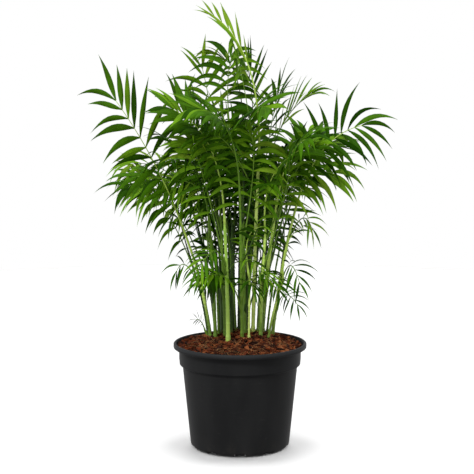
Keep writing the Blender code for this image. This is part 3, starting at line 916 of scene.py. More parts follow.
class Recipe(Bench):
    """One finish: its nodes round a Principled shader."""

    def __init__(self, name, **constants):
        self.finish = bpy.data.materials.new(name)
        self.finish.use_nodes = True
        super().__init__(self.finish.node_tree)
        self.shader = self.tree.nodes["Principled BSDF"]
        for words, amount in constants.items():
            self.shader.inputs[words.replace("_", " ")].default_value = amount

    def set(self, **sockets):
        for words, given in sockets.items():
            self.feed(self.shader.inputs[words.replace("_", " ")], given)

    def place(self):
        return self.use("ShaderNodeTexCoord").out("Object")

    def grown(self):
        """Share along a piece, and share across it."""
        parts = self.use("ShaderNodeSeparateXYZ", None, {0: self.use("ShaderNodeTexCoord").out("UV")})
        return parts.out("X"), parts.out("Y")

    def stretched(self, vector, scale):
        return self.use("ShaderNodeVectorMath", {"operation": "MULTIPLY"}, {0: vector, 1: scale})

    def cloud(self, scale, detail=3.0, vector=None, roughness=0.5):
        """Noise about 0.5."""
        inputs = {"Scale": scale, "Detail": detail, "Roughness": roughness, "Vector": vector or self.place()}
        return self.use("ShaderNodeTexNoise", None, inputs).out("Fac")

    def bump(self, height, strength, distance):
        inputs = {"Height": height, "Strength": strength, "Distance": distance}
        return self.use("ShaderNodeBump", None, inputs)


def tint(colour, factor):
    return tuple(min(1.0, c * factor) for c in colour)


def leaf_finish(name, colour, young, sheen):
    """Leaf: a base green with soft mottling, a pale midrib, fine veins and slightly dry tips."""
    recipe = Recipe(name, Specular_IOR_Level=sheen)
    along, beside = recipe.grown()
    mottle = recipe.cloud(38.0, 3.0).ramp(0.30, 0.72)
    green = recipe.blend(mottle, tint(colour, 0.78), tint(colour, 1.24))
    midrib = 1.0 - abs(beside - 0.5).ramp(0.012, 0.055)
    green = recipe.blend(midrib * 0.45, green, tuple(0.5 * (c + y) for c, y in zip(colour, young)))
    dry = along.ramp(0.90, 1.0) * recipe.cloud(21.0, 1.0).ramp(0.45, 0.65)
    green = recipe.blend(dry * 0.55, green, (0.20, 0.17, 0.045))
    veins = (beside * 75.0).sine() * 0.5 + midrib * 1.4
    recipe.set(
        Base_Color=green,
        Roughness=0.40 + 0.16 * recipe.cloud(90.0, 2.0),
        Normal=recipe.bump(veins, 0.30, 0.00025),
    )
    return recipe.finish


def stem_finish(name, low, high, streak, turn=0.0):
    """Stem or stalk: one green turns into another above a share, with long streaks and a few brown specks."""
    recipe = Recipe(name, Specular_IOR_Level=0.25)
    along, _ = recipe.grown()
    place = recipe.place()
    rise = along.ramp(turn, 0.55)
    green = recipe.blend(rise, low, high)
    long_grain = recipe.cloud(420.0, 3.0, recipe.stretched(place, (1.0, 1.0, 0.07)))
    green = recipe.blend(long_grain.ramp(0.38, 0.70) * (0.25 + 0.40 * rise), green, streak)
    specks = recipe.cloud(260.0, 1.0, recipe.stretched(place, (1.0, 1.0, 0.55))).ramp(0.70, 0.76)
    green = recipe.blend(specks * 0.35, green, (0.11, 0.085, 0.022))
    shade = recipe.cloud(30.0, 2.0).ramp(0.3, 0.7)
    green = recipe.blend(shade * 0.35, green, tint(high, 0.55))
    recipe.set(
        Base_Color=green,
        Roughness=0.36 + 0.2 * recipe.cloud(140.0, 2.0),
        Normal=recipe.bump(long_grain, 0.35, 0.0004),
    )
    return recipe.finish


def bark_finish(name, colour, grain_colour, dark):
    """Bark, coir or soil: fibrous grain over a base colour, with painted shade darkening it in the grain's
    hollows.
    """
    recipe = Recipe(name, Specular_IOR_Level=0.12, Roughness=0.92)
    grain = recipe.cloud(520.0, 6.0, None, 0.65)
    lumps = recipe.cloud(130.0, 4.0)
    brown = recipe.blend(lumps.ramp(0.30, 0.70), colour, grain_colour)
    # Painted shade: the darkest colour goes where the grain is low, in the hollows of the bump.
    brown = recipe.blend(grain.ramp(0.52, 0.36) * 0.75, brown, dark)
    recipe.set(Base_Color=brown, Normal=recipe.bump(grain + lumps * 0.8, 0.8, 0.0009))
    return recipe.finish


def plastic_finish():
    """Moulded black plastic: satin, finely grained, with faint handling marks, dust near the foot and a painted
    highlight along the rolled lip.
    """
    recipe = Recipe("pot_plastic_moulded", Specular_IOR_Level=0.09)
    place = recipe.place()
    height = recipe.use("ShaderNodeSeparateXYZ", None, {0: place}).out("Z")
    grain = recipe.cloud(1500.0, 2.0)
    flow = recipe.cloud(26.0, 4.0, recipe.stretched(place, (1.0, 1.0, 0.35)))
    scuffs = recipe.cloud(95.0, 5.0, recipe.stretched(place, (1.0, 1.0, 3.0))).ramp(0.60, 0.80)
    dust = (1.0 - height.ramp(0.0, 0.030)) * recipe.cloud(60.0, 4.0).ramp(0.40, 0.75)
    black = recipe.blend(flow.ramp(0.3, 0.7), (0.0075, 0.0077, 0.0081), (0.0112, 0.0114, 0.0118))
    # Painted highlight: the rolled lip is lighter, standing in for the light that it catches.
    rim = height.ramp(POT_HEIGHT - 0.7 * LIP_HEIGHT, POT_HEIGHT - 0.3 * LIP_HEIGHT)
    black = recipe.blend(rim * 0.8, black, (0.020, 0.0215, 0.023))
    black = recipe.blend(scuffs * 0.25, black, (0.035, 0.035, 0.034))
    black = recipe.blend(dust * 0.15, black, (0.060, 0.052, 0.042))
    recipe.set(
        Base_Color=black,
        Roughness=0.44 + 0.12 * flow + 0.10 * scuffs,
        Normal=recipe.bump(grain + 0.6 * flow, 0.16, 0.0003),
    )
    return recipe.finish


def floor_finish():
    recipe = Recipe("pale_floor", Specular_IOR_Level=0.0)
    soft = recipe.cloud(3.0, 2.0)
    grey = recipe.blend(soft, (0.100, 0.100, 0.100), (0.103, 0.103, 0.103))
    recipe.set(Base_Color=grey, Roughness=0.75 + 0.1 * soft)
    return recipe.finish


# Fronds in full

# How full some fronds are, how broad their leaflets are, and how much broader towards the frond's tip.
USUAL_LOOK = (1.25, 1.0, 0.4)
LOOKS = {
    0: (1.0, 0.92, 0.1), 1: (1.0, 0.85, 0.2), 2: (1.2, 0.62, 0.0), 3: (1.25, 0.85, 0.0), 4: (1.0, 0.82, 0.1),
    5: (1.7, 1.0, 1.2), 6: (1.25, 0.66, 0.0), 8: (1.1, 0.78, 0.4), 9: (1.1, 0.76, 0.4), 10: (1.0, 0.76, 0.4),
    11: (0.8, 1.0, 0.4), 12: (0.8, 1.0, 0.4), 13: (0.8, 0.75, 0.4), 14: (1.7, 1.0, 1.4), 15: (1.6, 1.0, 1.4),
    16: (0.9, 0.72, 0.4), 17: (1.25, 0.85, 0.6), 18: (1.0, 0.72, 0.4), 19: (1.25, 0.72, 0.4),
    20: (0.9, 0.85, 0.4), 21: (1.0, 1.0, 0.4), BETWEEN_FIRST: (0.8, 1.0, 0.4),
    BETWEEN_FIRST + 6: (1.0, 0.8, 0.4), BETWEEN_FIRST + 7: (1.25, 1.25, 0.4), LOW_FIRST + 5: (1.25, 0.6, 0.4),
}
LEAF_LOOSENESS = 0.055
FINE_RADIUS = 0.00125
FINE_TIP_RADIUS = 0.00042


def finer_leaflets(grown, chance):
    """The frond's leaflets, closer together: those between two of the model's lie between them."""
    frond = grown.frond
    count = round(frond.pairs * LOOKS.get(grown.number, USUAL_LOOK)[0])
    looseness = LEAF_LOOSENESS if grown.number < len(OUTLINE_FRONDS) else 2.0 * LEAF_LOOSENESS
    bare, blade, half = blade_span(frond, grown.curve)
    found = []
    for k in range(count):
        share = k / (count - 1)
        t = pair_place(bare, blade, half, share)
        centre, _, side, up = frond_frame(frond, grown.curve, t)
        radius = fine_radius(t)
        at = share * (frond.pairs - 1)
        low = min(int(at), frond.pairs - 2)
        part = at - low
        for hand in (-1, 1):
            near, far = grown.leaflets.get((low, hand)), grown.leaflets.get((low + 1, hand))
            if near is None and far is None:
                continue
            near, far = near or far, far or near
            foot = centre + side * (0.55 * hand * radius) + up * (0.30 * radius)
            ways = []
            for a, b in ((near.waist, far.waist), (near.tip, far.tip)):
                ways.append((a - near.foot).lerp(b - far.foot, part))
            loose = Vector([chance.gauss(0.0, 1.0) for _ in range(3)]) * (looseness * ways[1].length)
            ways = [foot + ways[0] + loose * 0.35, foot + ways[1] + loose]
            half_breadth, keel = near.half.lerp(far.half, part), near.keel.lerp(far.keel, part)
            found.append((Leaflet(foot, *ways, half_breadth, keel), share))
    return found


def fine_radius(t):
    return FINE_RADIUS + (FINE_TIP_RADIUS - FINE_RADIUS) * t**0.75


def leaf_rows(leaf, chance, broad=1.0):
    """Rows of points of one leaflet: a pointed outline, folded at its midrib, bent and a little twisted."""
    s = LEAF_WAIST
    bend = (leaf.waist - leaf.foot * (1.0 - s) ** 2 - leaf.tip * s**2) / (2.0 * s * (1.0 - s))
    length = (leaf.tip - leaf.foot).length
    twist = chance.uniform(-0.42, 0.42)
    roll = chance.uniform(-0.18, 0.18)
    curl = chance.uniform(0.04, 0.30) * length
    sweep = chance.uniform(-0.07, 0.07) * length
    fold = chance.uniform(0.10, 0.34)
    breadth = leaf.half.length * broad * chance.uniform(0.80, 1.00)
    rows = []
    for t, share in LEAF_OUTLINE:
        along = heading(leaf.foot, bend, leaf.tip, t)
        upper = across(along, leaf.keel)
        side = along.cross(upper)
        angle = roll + twist * t
        side, upper = (
            side * math.cos(angle) + upper * math.sin(angle),
            upper * math.cos(angle) - side * math.sin(angle),
        )
        past = max(0.0, t - 0.45)
        centre = quadratic(leaf.foot, bend, leaf.tip, t) - UP * (curl * past**2) + side * (sweep * t * t)
        row = []
        for place in LEAF_COLUMNS:
            out = breadth * share * place
            sag = fold * breadth * share * abs(place) ** 1.5
            row.append(centre + side * out - upper * sag)
        rows.append(row)
    return rows


def stalk_rows(grown):
    """Rings of a stalk and its rib, from a toe inside the cane to the last leaflets."""
    frond, curve = grown.frond, grown.curve
    cane = STEMS[frond.cane]
    path = cane_curve(cane)
    on_top = grown.joint >= 1.0
    grip = cane_radius(cane, grown.joint)
    rows = []
    _, _, side, up = frond_frame(frond, curve, 0.0)
    seat = quadratic(*path, grown.joint)
    down = heading(*path, grown.joint)
    for back, width, blend in ((0.016, 1.02, 0.0), (0.008, 1.12, 0.25), (0.002, 0.98, 0.7)):
        if on_top:
            centre = curve[0] - down * back
        else:
            centre = (seat - down * back).lerp(curve[0] - down * back, blend)
        thick = grip * width if blend < 0.5 else 0.5 * (grip + 0.0019)
        rows.append(ring(centre, side, up, thick, STALK_SIDES))
    for k in range(STALK_RINGS + 1):
        t = (k / STALK_RINGS) ** 1.05 * 0.995
        centre, _, side, up = frond_frame(frond, curve, t)
        swell = 0.0007 * max(0.0, 1.0 - t / 0.55) if on_top else 0.0006 * max(0.0, 1.0 - t / 0.20) ** 2
        radius = fine_radius(t) + swell
        rows.append(ring(centre, side, up, radius, STALK_SIDES, 0.6))
    return rows


# Stems


def stem_rows(cane, joints):
    """Rings of a stem: flared foot, ringed nodes, and a slightly thicker sheath under each stalk."""
    path = cane_curve(cane)
    length = (path[2] - path[0]).length
    gap = 0.0011 / length
    scars = [(k + 0.35) / (STEM_RINGS + 0.35) for k in range(STEM_RINGS)]
    shares = {0.0, 0.012, 0.03, 0.06, 1.0}
    shares.update(k / 30.0 for k in range(1, 30))
    for scar in scars:
        shares.update((scar - 2.2 * gap, scar - gap, scar, scar + gap))
    for joint in joints:
        shares.update((joint - 0.13, joint - 0.12, joint - 0.004, joint + 0.004))
    rows = []
    foot = path[0] - UP * 0.004
    for share in sorted(s for s in shares if 0.0 <= s <= 1.0):
        along = heading(*path, share)
        side = across(along, EAST)
        radius = cane_radius(cane, share) * 0.96
        radius *= 1.0 + (FOOT_FLARE - 1.0) * max(0.0, 1.0 - share / 0.06) ** 1.6
        for scar in scars:
            near = abs(share - scar) / gap
            if near < 1.5:
                radius += NODE_STEP if share <= scar else -NODE_DIP
        if any(joint - 0.122 <= share <= joint + 0.001 for joint in joints):
            radius += SHEATH_THICK
        centre = quadratic(*path, share) if share > 0.0 else foot
        rows.append(ring(centre, side, along.cross(side), radius, STEM_SIDES))
    return rows


# Soil


def bed_height(x, y):
    """The soil's surface in full: the model's mound, with clods and crumbs."""
    clods = noise.fractal(Vector((x * 85.0, y * 85.0, 3.1)), 0.8, 2.1, 4)
    crumbs = noise.noise(Vector((x * 420.0, y * 420.0, 7.7)))
    return soil_height(x, y) + SOIL_RAISED + CLOD_HEIGHT * clods + CRUMB_HEIGHT * crumbs


def pot_inner_radius(height):
    """Radius of the pot's inner wall at a height: the body's cone, and then the wider collar."""
    shoulder = POT_HEIGHT - COLLAR_HEIGHT
    if height < shoulder:
        share = (height - CORNER_HEIGHT) / (shoulder - CORNER_HEIGHT)
        return BASE_RADIUS + (SHOULDER_RADIUS - BASE_RADIUS) * share - WALL
    share = (height - shoulder) / COLLAR_HEIGHT
    return SHOULDER_RADIUS - WALL + (COLLAR_RADIUS - SHOULDER_RADIUS) * min(1.0, 0.55 + 0.45 * share)


def make_bed(finish):
    """The soil's surface, from its middle to a skirt down the pot's inner wall."""
    bed = Stock()
    rows = []
    for r in range(SOIL_ROWS + 1):
        radius = SOIL_REACH * max(0.004, r / SOIL_ROWS)
        row = []
        for k in range(SOIL_COLUMNS):
            angle = 2.0 * math.pi * k / SOIL_COLUMNS
            x, y = radius * math.cos(angle), radius * math.sin(angle)
            row.append(Vector((x, y, bed_height(x, y))))
        rows.append(row)
    for share, drop in ((0.956, 0.003), (0.945, 0.020)):
        rows.append([Vector((p.x * share, p.y * share, SOIL_EDGE - drop)) for p in rows[SOIL_ROWS]])
    bed.lay(rows, closed=True, ends=True)
    bed.piece("soil_bed", finish, "potting_bark", ["soil"])


CHIP_FACES = ((0, 1, 2, 3), (4, 7, 6, 5), (0, 4, 5, 1), (1, 5, 6, 2), (2, 6, 7, 3), (3, 7, 4, 0))


def chip_points(chance, size):
    """A broken chip: a long slab with uneven, slanted ends."""
    length = size
    width = size * chance.uniform(0.28, 0.62)
    thick = size * chance.uniform(0.10, 0.30)
    points = []
    for z in (-1.0, 1.0):
        for x, y in ((-1.0, -1.0), (1.0, -1.0), (1.0, 1.0), (-1.0, 1.0)):
            points.append(
                Vector((
                    0.5 * length * x * chance.uniform(0.55, 1.05),
                    0.5 * width * y * chance.uniform(0.45, 1.1),
                    0.5 * thick * z * chance.uniform(0.5, 1.1),
                ))
            )
    return points


def make_chips(finishes):
    """Bark strewn over the bed, each kind in a piece: broken chunks first, then chips and crumbs between."""
    chance = random.Random(71)
    stocks = {name: Stock() for name in finishes}
    names = list(finishes)
    for k in range(CHUNK_COUNT + CHIP_COUNT):
        chunk = k < CHUNK_COUNT
        size = chance.uniform(0.0075, 0.0155) if chunk else chance.uniform(0.0022, 0.0070)
        radius = (SOIL_REACH - 0.0006 - 0.42 * size) * math.sqrt(chance.random())
        angle = chance.uniform(0.0, 2.0 * math.pi)
        x, y = radius * math.cos(angle), radius * math.sin(angle)
        spin = Matrix.Rotation(chance.uniform(0.0, 2.0 * math.pi), 4, "Z")
        steep = 0.30 if chunk else 0.45
        tip = Matrix.Rotation(chance.gauss(0.0, steep), 4, "Y")
        tip = tip @ Matrix.Rotation(chance.gauss(0.0, steep), 4, "X")
        at = Matrix.Translation((x, y, bed_height(x, y) + 0.12 * size))
        points = [at @ spin @ tip @ p for p in chip_points(chance, size)]
        stocks[names[min(len(names) - 1, int(len(names) * chance.random() ** 1.15))]].add(points, CHIP_FACES)
    for name, stock in stocks.items():
        stock.piece(name, finishes[name], "potting_bark", sharp=28.0)


def make_fibres(finish):
    """Coir strands that lie over the chips."""
    chance = random.Random(72)
    stock = Stock()
    for _ in range(FIBRE_COUNT):
        length = chance.uniform(0.006, 0.022)
        radius = (SOIL_REACH - 0.004 - 0.5 * length) * math.sqrt(chance.random())
        angle = chance.uniform(0.0, 2.0 * math.pi)
        start = Vector((radius * math.cos(angle), radius * math.sin(angle), 0.0))
        way = chance.uniform(0.0, 2.0 * math.pi)
        bend = chance.uniform(-1.4, 1.4)
        lift = chance.uniform(0.0, 0.003) * (1.0 if chance.random() < 0.5 else 2.2)
        thick = chance.uniform(0.00012, 0.00032)
        rows = []
        centre = start - Vector((math.cos(way), math.sin(way), 0.0)) * (0.5 * length)
        for step in range(8):
            t = step / 7.0
            turn = way + bend * (t - 0.5)
            along = Vector((math.cos(turn), math.sin(turn), 0.0))
            spot = centre.copy()
            spot.z = bed_height(spot.x, spot.y) + 0.0012 + lift * math.sin(math.pi * t)
            side = Vector((-along.y, along.x, 0.0))
            rows.append(ring(spot, side, UP, thick * (1.0 - 0.5 * t), 4))
            centre += along * (length / 7.0)
        stock.lay(rows, closed=True, ends=True)
    stock.piece("coir_strands", finish, "potting_bark")


# Pot


def rounded(corner, radius, start, stop, steps):
    """Points of an arc about a corner, between two angles in degrees."""
    found = []
    for k in range(steps + 1):
        angle = math.radians(start + (stop - start) * k / steps)
        found.append((corner[0] + radius * math.cos(angle), corner[1] + radius * math.sin(angle)))
    return found


LIP_THICK = 0.0040

# The foot is a piece of its own, up to this much of the wall: it alone shades the floor.
FOOT_PIECE_HEIGHT = 0.032
FOOT_PIECE_ROWS = 10


def pot_outline():
    """The moulded pot's section, from its foot ring up the outside, over the rolled lip and down inside."""
    shoulder = POT_HEIGHT - COLLAR_HEIGHT
    lip_foot = POT_HEIGHT - LIP_HEIGHT
    roll = 0.0019
    wall_slope = (SHOULDER_RADIUS - BASE_RADIUS - 0.0005) / (shoulder - 0.0044 - CORNER_HEIGHT)
    outline = [
        (FOOT_RADIUS - FOOT_WIDTH, FOOT_HEIGHT),
        (FOOT_RADIUS - FOOT_WIDTH, 0.0004),
        (FOOT_RADIUS - FOOT_WIDTH + 0.0004, 0.0),
        (FOOT_RADIUS - 0.0006, 0.0),
        (FOOT_RADIUS + 0.0002, 0.0004),
        (BASE_RADIUS - 0.0016, 0.0021),
        (BASE_RADIUS - 0.0006, 0.0034),
        (BASE_RADIUS - 0.0001, 0.0052),
        (BASE_RADIUS + 0.0002, CORNER_HEIGHT + 0.0014),
        (BASE_RADIUS + 0.0002 + FOOT_PIECE_HEIGHT * wall_slope, CORNER_HEIGHT + 0.0014 + FOOT_PIECE_HEIGHT),
        (SHOULDER_RADIUS - 0.0003, shoulder - 0.0030),
        (SHOULDER_RADIUS - 0.0001, shoulder - 0.0012),
        (SHOULDER_RADIUS + 0.0006, shoulder - 0.0002),
    ]
    outline += rounded((COLLAR_RADIUS - 0.0022, shoulder + 0.0026), 0.0016, -70.0, 0.0, 4)
    outline += [
        (COLLAR_RADIUS - 0.0004, shoulder + 0.0062),
        (COLLAR_RADIUS, shoulder + 0.0100),
        (COLLAR_RADIUS, lip_foot - 0.0012),
        (COLLAR_RADIUS + 0.0004, lip_foot - 0.0002),
        (RIM_RADIUS - roll, lip_foot + 0.0003),
    ]
    outline += rounded((RIM_RADIUS - roll, lip_foot + 0.0003 + roll), roll, -78.0, 0.0, 5)
    outline += rounded((RIM_RADIUS - roll, POT_HEIGHT - roll), roll, 8.0, 90.0, 6)
    outline += rounded((RIM_RADIUS - LIP_THICK + 0.0011, POT_HEIGHT - 0.0011), 0.0011, 90.0, 170.0, 4)
    outline += [
        (RIM_RADIUS - LIP_THICK - 0.0008, SOIL_EDGE),
        (pot_inner_radius(lip_foot) + 0.0004, lip_foot),
        (pot_inner_radius(shoulder + 0.001), shoulder + 0.001),
        (pot_inner_radius(shoulder - 0.002), shoulder - 0.002),
    ]
    return outline


def make_pot(finish):
    """The pot: its section turned about Z, with drain notches pressed into the foot ring, and its floor."""
    columns = []
    period = 2.0 * math.pi / NOTCH_COUNT
    half = 0.5 * NOTCH_WIDTH / (FOOT_RADIUS - 0.5 * FOOT_WIDTH)
    edge = NOTCH_EDGE
    for k in range(NOTCH_COUNT):
        middle = period * (k + 0.5)
        columns.append((middle - half - edge, 0.0))
        columns += [(middle + half * place, 1.0) for place in (-1.0, -0.5, 0.0, 0.5, 1.0)]
        columns.append((middle + half + edge, 0.0))
        free = period - 2.0 * (half + edge)
        steps = NOTCH_COLUMNS - 6
        columns += [(middle + half + edge + free * (s + 1) / (steps + 1), 0.0) for s in range(steps)]
    rows = []
    for radius, height in pot_outline():
        row = []
        for angle, cut in columns:
            z = max(height, NOTCH_HEIGHT * cut) if radius < BASE_RADIUS + 0.001 else height
            row.append(Vector((radius * math.cos(angle), radius * math.sin(angle), z)))
        rows.append(row)
    wall = Stock()
    wall.lay(rows[FOOT_PIECE_ROWS - 1:], closed=True)
    wall.piece("nursery_pot", finish, "pot_plastic", ["pot"], sharp=40.0)
    foot = Stock()
    foot.lay(rows[:FOOT_PIECE_ROWS], closed=True)
    under = []
    for share in (1.0, 0.5, 0.02):
        under.append([Vector((p.x * share, p.y * share, FOOT_HEIGHT)) for p in rows[0]])
    foot.lay(under, closed=True)
    foot.faces.append(tuple(range(len(foot.points) - len(rows[0]), len(foot.points))))
    foot.piece("pot_foot", finish, "pot_plastic", (), sharp=40.0)


# Stage

FLOOR_RADIUS = 1.9
FLOOR_SIDES = 96
FLOOR_DROP = 0.0004
CEILING = 0.55
GROUND = 0.45
FLOOR_LIGHTS = 6
FLOOR_LIGHT_RISE = 0.85
FLOOR_LIGHT_STRENGTH = 8.7
FLOOR_LIGHT_SPREAD = 38.0
FLOOR_LIGHT_LEAN = 0.5

CAMERA_PLACE = (0.0, -1.91, 0.53)
CAMERA_DIP = 6.7
CAMERA_LENS = 101.5
CAMERA_SENSOR = 36.0
PHOTO_PIXELS = 474.0
SHIFT_PIXELS = -3.0


def stage_disc(finish):
    """A wide pale floor under the pot."""
    turns = [2.0 * math.pi * k / FLOOR_SIDES for k in range(FLOOR_SIDES)]
    rim = [(FLOOR_RADIUS * math.cos(a), FLOOR_RADIUS * math.sin(a), 0.0) for a in turns]
    faces = [(0, k + 1, (k + 1) % FLOOR_SIDES + 1) for k in range(FLOOR_SIDES)]
    mesh = bpy.data.meshes.new("floor")
    mesh.from_pydata([(0.0, 0.0, 0.0), *rim], [], faces)
    mesh.materials.append(finish)
    floor = bpy.data.objects.new("floor", mesh)
    floor.location.z = -FLOOR_DROP
    floor.visible_diffuse = False
    floor.visible_glossy = False
    bpy.context.scene.collection.objects.link(floor)
    return floor


def group(name, members):
    found = bpy.data.collections.new(name)
    for member in members:
        found.objects.link(member)
    return found


def soft_sun(name, toward, strength, spread, lit, blockers=None):
    """A wide, soft light from far off, for some of the objects, which some of them may shade."""
    lamp = bpy.data.lights.new(name, "SUN")
    lamp.energy = strength
    lamp.angle = math.radians(spread)
    obj = bpy.data.objects.new(name, lamp)
    obj.rotation_euler = Vector(toward).to_track_quat("Z", "Y").to_euler()
    bpy.context.scene.collection.objects.link(obj)
    obj.light_linking.receiver_collection = lit
    if blockers is not None:
        obj.light_linking.blocker_collection = blockers


def studio(floor):
    """A white room with darker ceiling and ground, lights for the plant and for the floor, and the camera."""
    scene = bpy.context.scene
    world = bpy.data.worlds.new("studio")
    world.use_nodes = True
    room = Bench(world.node_tree)
    way = room.use("ShaderNodeSeparateXYZ", None, {0: room.use("ShaderNodeTexCoord").out("Generated")})
    height = way.out("Z")
    grey = room.blend(height.ramp(0.12, 0.42), (1.0, 1.0, 1.0), (CEILING, CEILING, CEILING))
    grey = room.blend(height.ramp(-0.20, -0.40), grey, (GROUND, GROUND, GROUND))
    room.feed(world.node_tree.nodes["Background"].inputs["Color"], grey)
    scene.world = world
    scene.view_settings.view_transform = "Standard"
    pieces = [obj for obj in scene.objects if obj.type == "MESH" and obj != floor]
    plant = group("plant_and_pot", pieces)
    ground = group("floor_alone", [floor])
    pot = group("pot_alone", [obj for obj in pieces if obj.name.startswith("pot_foot")])
    soft_sun("key", (-0.42, -0.72, 0.80), 2.5, 14.0, plant)
    soft_sun("overhead", (0.25, -0.15, 1.0), 0.9, 80.0, plant)
    for k in range(FLOOR_LIGHTS):
        angle = 2.0 * math.pi * (k + 0.5) / FLOOR_LIGHTS
        toward = (math.cos(angle), math.sin(angle), FLOOR_LIGHT_RISE)
        strength = FLOOR_LIGHT_STRENGTH * (1.0 + FLOOR_LIGHT_LEAN * math.sin(angle))
        soft_sun(f"floor_light_{k + 1}", toward, strength, FLOOR_LIGHT_SPREAD, ground, pot)
    camera = bpy.data.objects.new("camera", bpy.data.cameras.new("camera"))
    camera.data.lens = CAMERA_LENS
    camera.data.sensor_width = CAMERA_SENSOR
    camera.data.shift_x = SHIFT_PIXELS / PHOTO_PIXELS
    camera.location = CAMERA_PLACE
    camera.rotation_euler = (math.radians(90.0 - CAMERA_DIP), 0.0, 0.0)
    scene.collection.objects.link(camera)
    scene.camera = camera


# The whole


# Greens as base colours. A frond is given one, and a few of its leaflets the next. They are lighter and darker
# copies of one leaf green: partly the leaves' own age, partly painted light and painted shade by where a frond
# stands in the crown.
GREENS = {
    "shaded": ((0.0080, 0.0340, 0.0010), 0.0),
    "deep": ((0.0200, 0.0700, 0.0015), 0.02),
    "mid": ((0.0430, 0.1260, 0.0022), 0.04),
    "fresh": ((0.1020, 0.2250, 0.0060), 0.05),
    "young": ((0.1350, 0.2400, 0.0120), 0.05),
}
SHADES = list(GREENS)
# The greens of the listed fronds, one by one: partly their own, partly painted light and painted shade.
OUTLINE_SHADES = (2, 1, 4, 2, 3, 2, 3, 2, 3, 3, 2, 3, 2, 3, 2, 2, 1, 2, 1, 1, 3, 2)
BETWEEN_SHADES = (2, 1, 2, 2, 2, 1, 3, 3, 2)
LOW_SHADES = (1, 1, 1, 2, 3, 0)

# Greens of the stalks and stems: at the foot, above it and in the streaks, and the share where they turn. The
# dark and bright tones are partly the stems' own greens and partly painted shade and painted light; the lighter
# upper parts of the bright and turning stems are painted light.
STALK_GREENS = {
    "dark": ((0.024, 0.060, 0.005), (0.020, 0.055, 0.003), (0.050, 0.110, 0.008)),
    "green": ((0.110, 0.210, 0.018), (0.095, 0.205, 0.012), (0.200, 0.330, 0.035)),
    "bright": ((0.410, 0.580, 0.095), (0.350, 0.550, 0.060), (0.560, 0.720, 0.180)),
}
STEM_GREENS = {
    "dark": ((0.030, 0.065, 0.007), (0.022, 0.060, 0.004), (0.065, 0.130, 0.012)),
    "green": ((0.100, 0.180, 0.020), (0.095, 0.205, 0.012), (0.200, 0.340, 0.035)),
    "bright": ((0.480, 0.610, 0.140), (0.600, 0.780, 0.170), (0.700, 0.830, 0.280)),
    "turning": ((0.090, 0.180, 0.018), (0.500, 0.720, 0.120), (0.600, 0.780, 0.200), 0.18),
    "fresh": ((0.380, 0.520, 0.110), (0.310, 0.540, 0.070), (0.480, 0.680, 0.140)),
}
# Bark browns: base, lumps, and the darker colour painted as shade in the grain's hollows.
BARKS = {
    "red": ((0.085, 0.016, 0.004), (0.150, 0.032, 0.008), (0.016, 0.004, 0.002)),
    "brown": ((0.042, 0.009, 0.003), (0.082, 0.019, 0.005), (0.008, 0.003, 0.001)),
    "dark": ((0.012, 0.004, 0.002), (0.028, 0.008, 0.004), (0.003, 0.001, 0.001)),
    "tan": ((0.165, 0.042, 0.011), (0.260, 0.085, 0.028), (0.042, 0.011, 0.004)),
}

# Which stem finish each stem has: dark, green, bright, green at its foot and bright above, or fresh. The dark
# ones are partly painted shade among the clump, and the bright ones partly painted light.
STEM_TONES = (
    (3, 1, 0, 4, 1, 2, 3, 3, 0, 0, 0, 0, 1, 0, 1, 0, 3)
    + (1, 0, 0, 1, 3, 0, 0, 0, 2, 1, 3, 0, 0, 1)
    + (0, 0, 0, 0, 0, 0, 1, 0)
)


def shade_of(grown):
    """Which green a frond has: its own, or else lighter at the crown's sides and dark in its middle, as painted
    light and painted shade.
    """
    number = grown.number
    if number < len(OUTLINE_SHADES):
        return OUTLINE_SHADES[number]
    if number >= LOW_FIRST:
        return LOW_SHADES[number - LOW_FIRST]
    if number >= BETWEEN_FIRST:
        return BETWEEN_SHADES[number - BETWEEN_FIRST]
    if number >= SHADED_FIRST:
        # Painted shade: the fronds inside the crown get the darkest greens.
        return (1, 0, 2, 0, 1, 2, 1)[number % 7]
    if abs(grown.frond.tip[0]) > 0.095:
        return (3, 3, 2, 2)[number % 4]
    return (2, 2, 1, 3, 1)[number % 5]


def stalk_tone(grown):
    """A stalk that carries on from a stem has the stem's tone, and the shaded ones are dark, a painted shade.
    """
    if grown.joint >= 1.0:
        return min(2, STEM_TONES[grown.frond.cane])
    return 0 if SHADED_FIRST <= grown.number < BETWEEN_FIRST else 1


def breadth_of(number, share):
    """How broad a leaflet is beside the model's, by its frond and by how near the frond's tip it stands."""
    _, base, widen = LOOKS.get(number, USUAL_LOOK)
    return base * (1.0 + widen * max(0.0, share - 0.62) ** 0.7)


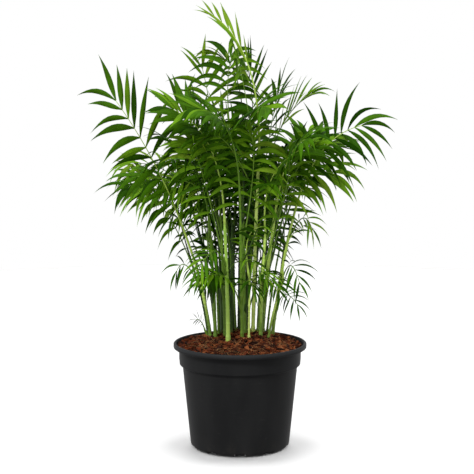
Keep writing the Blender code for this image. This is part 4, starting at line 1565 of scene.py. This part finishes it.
def dress():
    palm, thicket = grow_palm()
    everything = [*palm, *grow_more(thicket)]
    leaf_stocks = [Stock() for _ in SHADES]
    stalks = [Stock() for _ in STALK_GREENS]
    stems = [Stock() for _ in STEM_GREENS]
    for grown in everything:
        chance = random.Random(1000 + grown.number)
        shade = shade_of(grown)
        for leaf, share in finer_leaflets(grown, chance):
            pick = shade
            if chance.random() < 0.34:
                pick = max(0, min(len(SHADES) - 1, shade + chance.choice((-1, 1))))
            leaf_stocks[pick].lay(leaf_rows(leaf, chance, breadth_of(grown.number, share)))
        stalks[stalk_tone(grown)].lay(stalk_rows(grown), closed=True, ends=True)
    for k, (stem, tone) in enumerate(zip(STEMS, STEM_TONES)):
        joints = [grown.joint for grown in everything if grown.frond.cane == k and grown.joint < 1.0]
        stems[tone].lay(stem_rows(stem, joints), closed=True, ends=True)
    frond_nodes = [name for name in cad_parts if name.startswith("frond_")]
    cane_nodes = [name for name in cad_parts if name.startswith("cane_")]
    for k, name in enumerate(SHADES):
        green, sheen = GREENS[name]
        pale = tuple(min(1.0, 2.4 * c + 0.01) for c in green)
        finish = leaf_finish(f"leaf_{name}", green, pale, sheen)
        leaf_stocks[k].piece(f"leaflets_{name}", finish, "leaf_green", frond_nodes if k == 0 else ())
    for stock, (tone, colours) in zip(stalks, STALK_GREENS.items()):
        stock.piece(f"stalks_{tone}", stem_finish(f"stalk_{tone}", *colours), "leaf_green")
    for stock, (tone, colours) in zip(stems, STEM_GREENS.items()):
        nodes = cane_nodes if tone == "dark" else ()
        stock.piece(f"stem_{tone}_stems", stem_finish(f"stem_{tone}", *colours), "cane_green", nodes)
    make_bed(bark_finish("bark_bed", (0.020, 0.0045, 0.0015), (0.058, 0.014, 0.004), (0.005, 0.002, 0.001)))
    make_chips({f"chips_{tone}": bark_finish(f"bark_{tone}", *browns) for tone, browns in BARKS.items()})
    make_fibres(bark_finish("coir", (0.23, 0.105, 0.038), (0.34, 0.18, 0.08), (0.09, 0.033, 0.012)))
    make_pot(plastic_finish())


dress()
studio(stage_disc(floor_finish()))
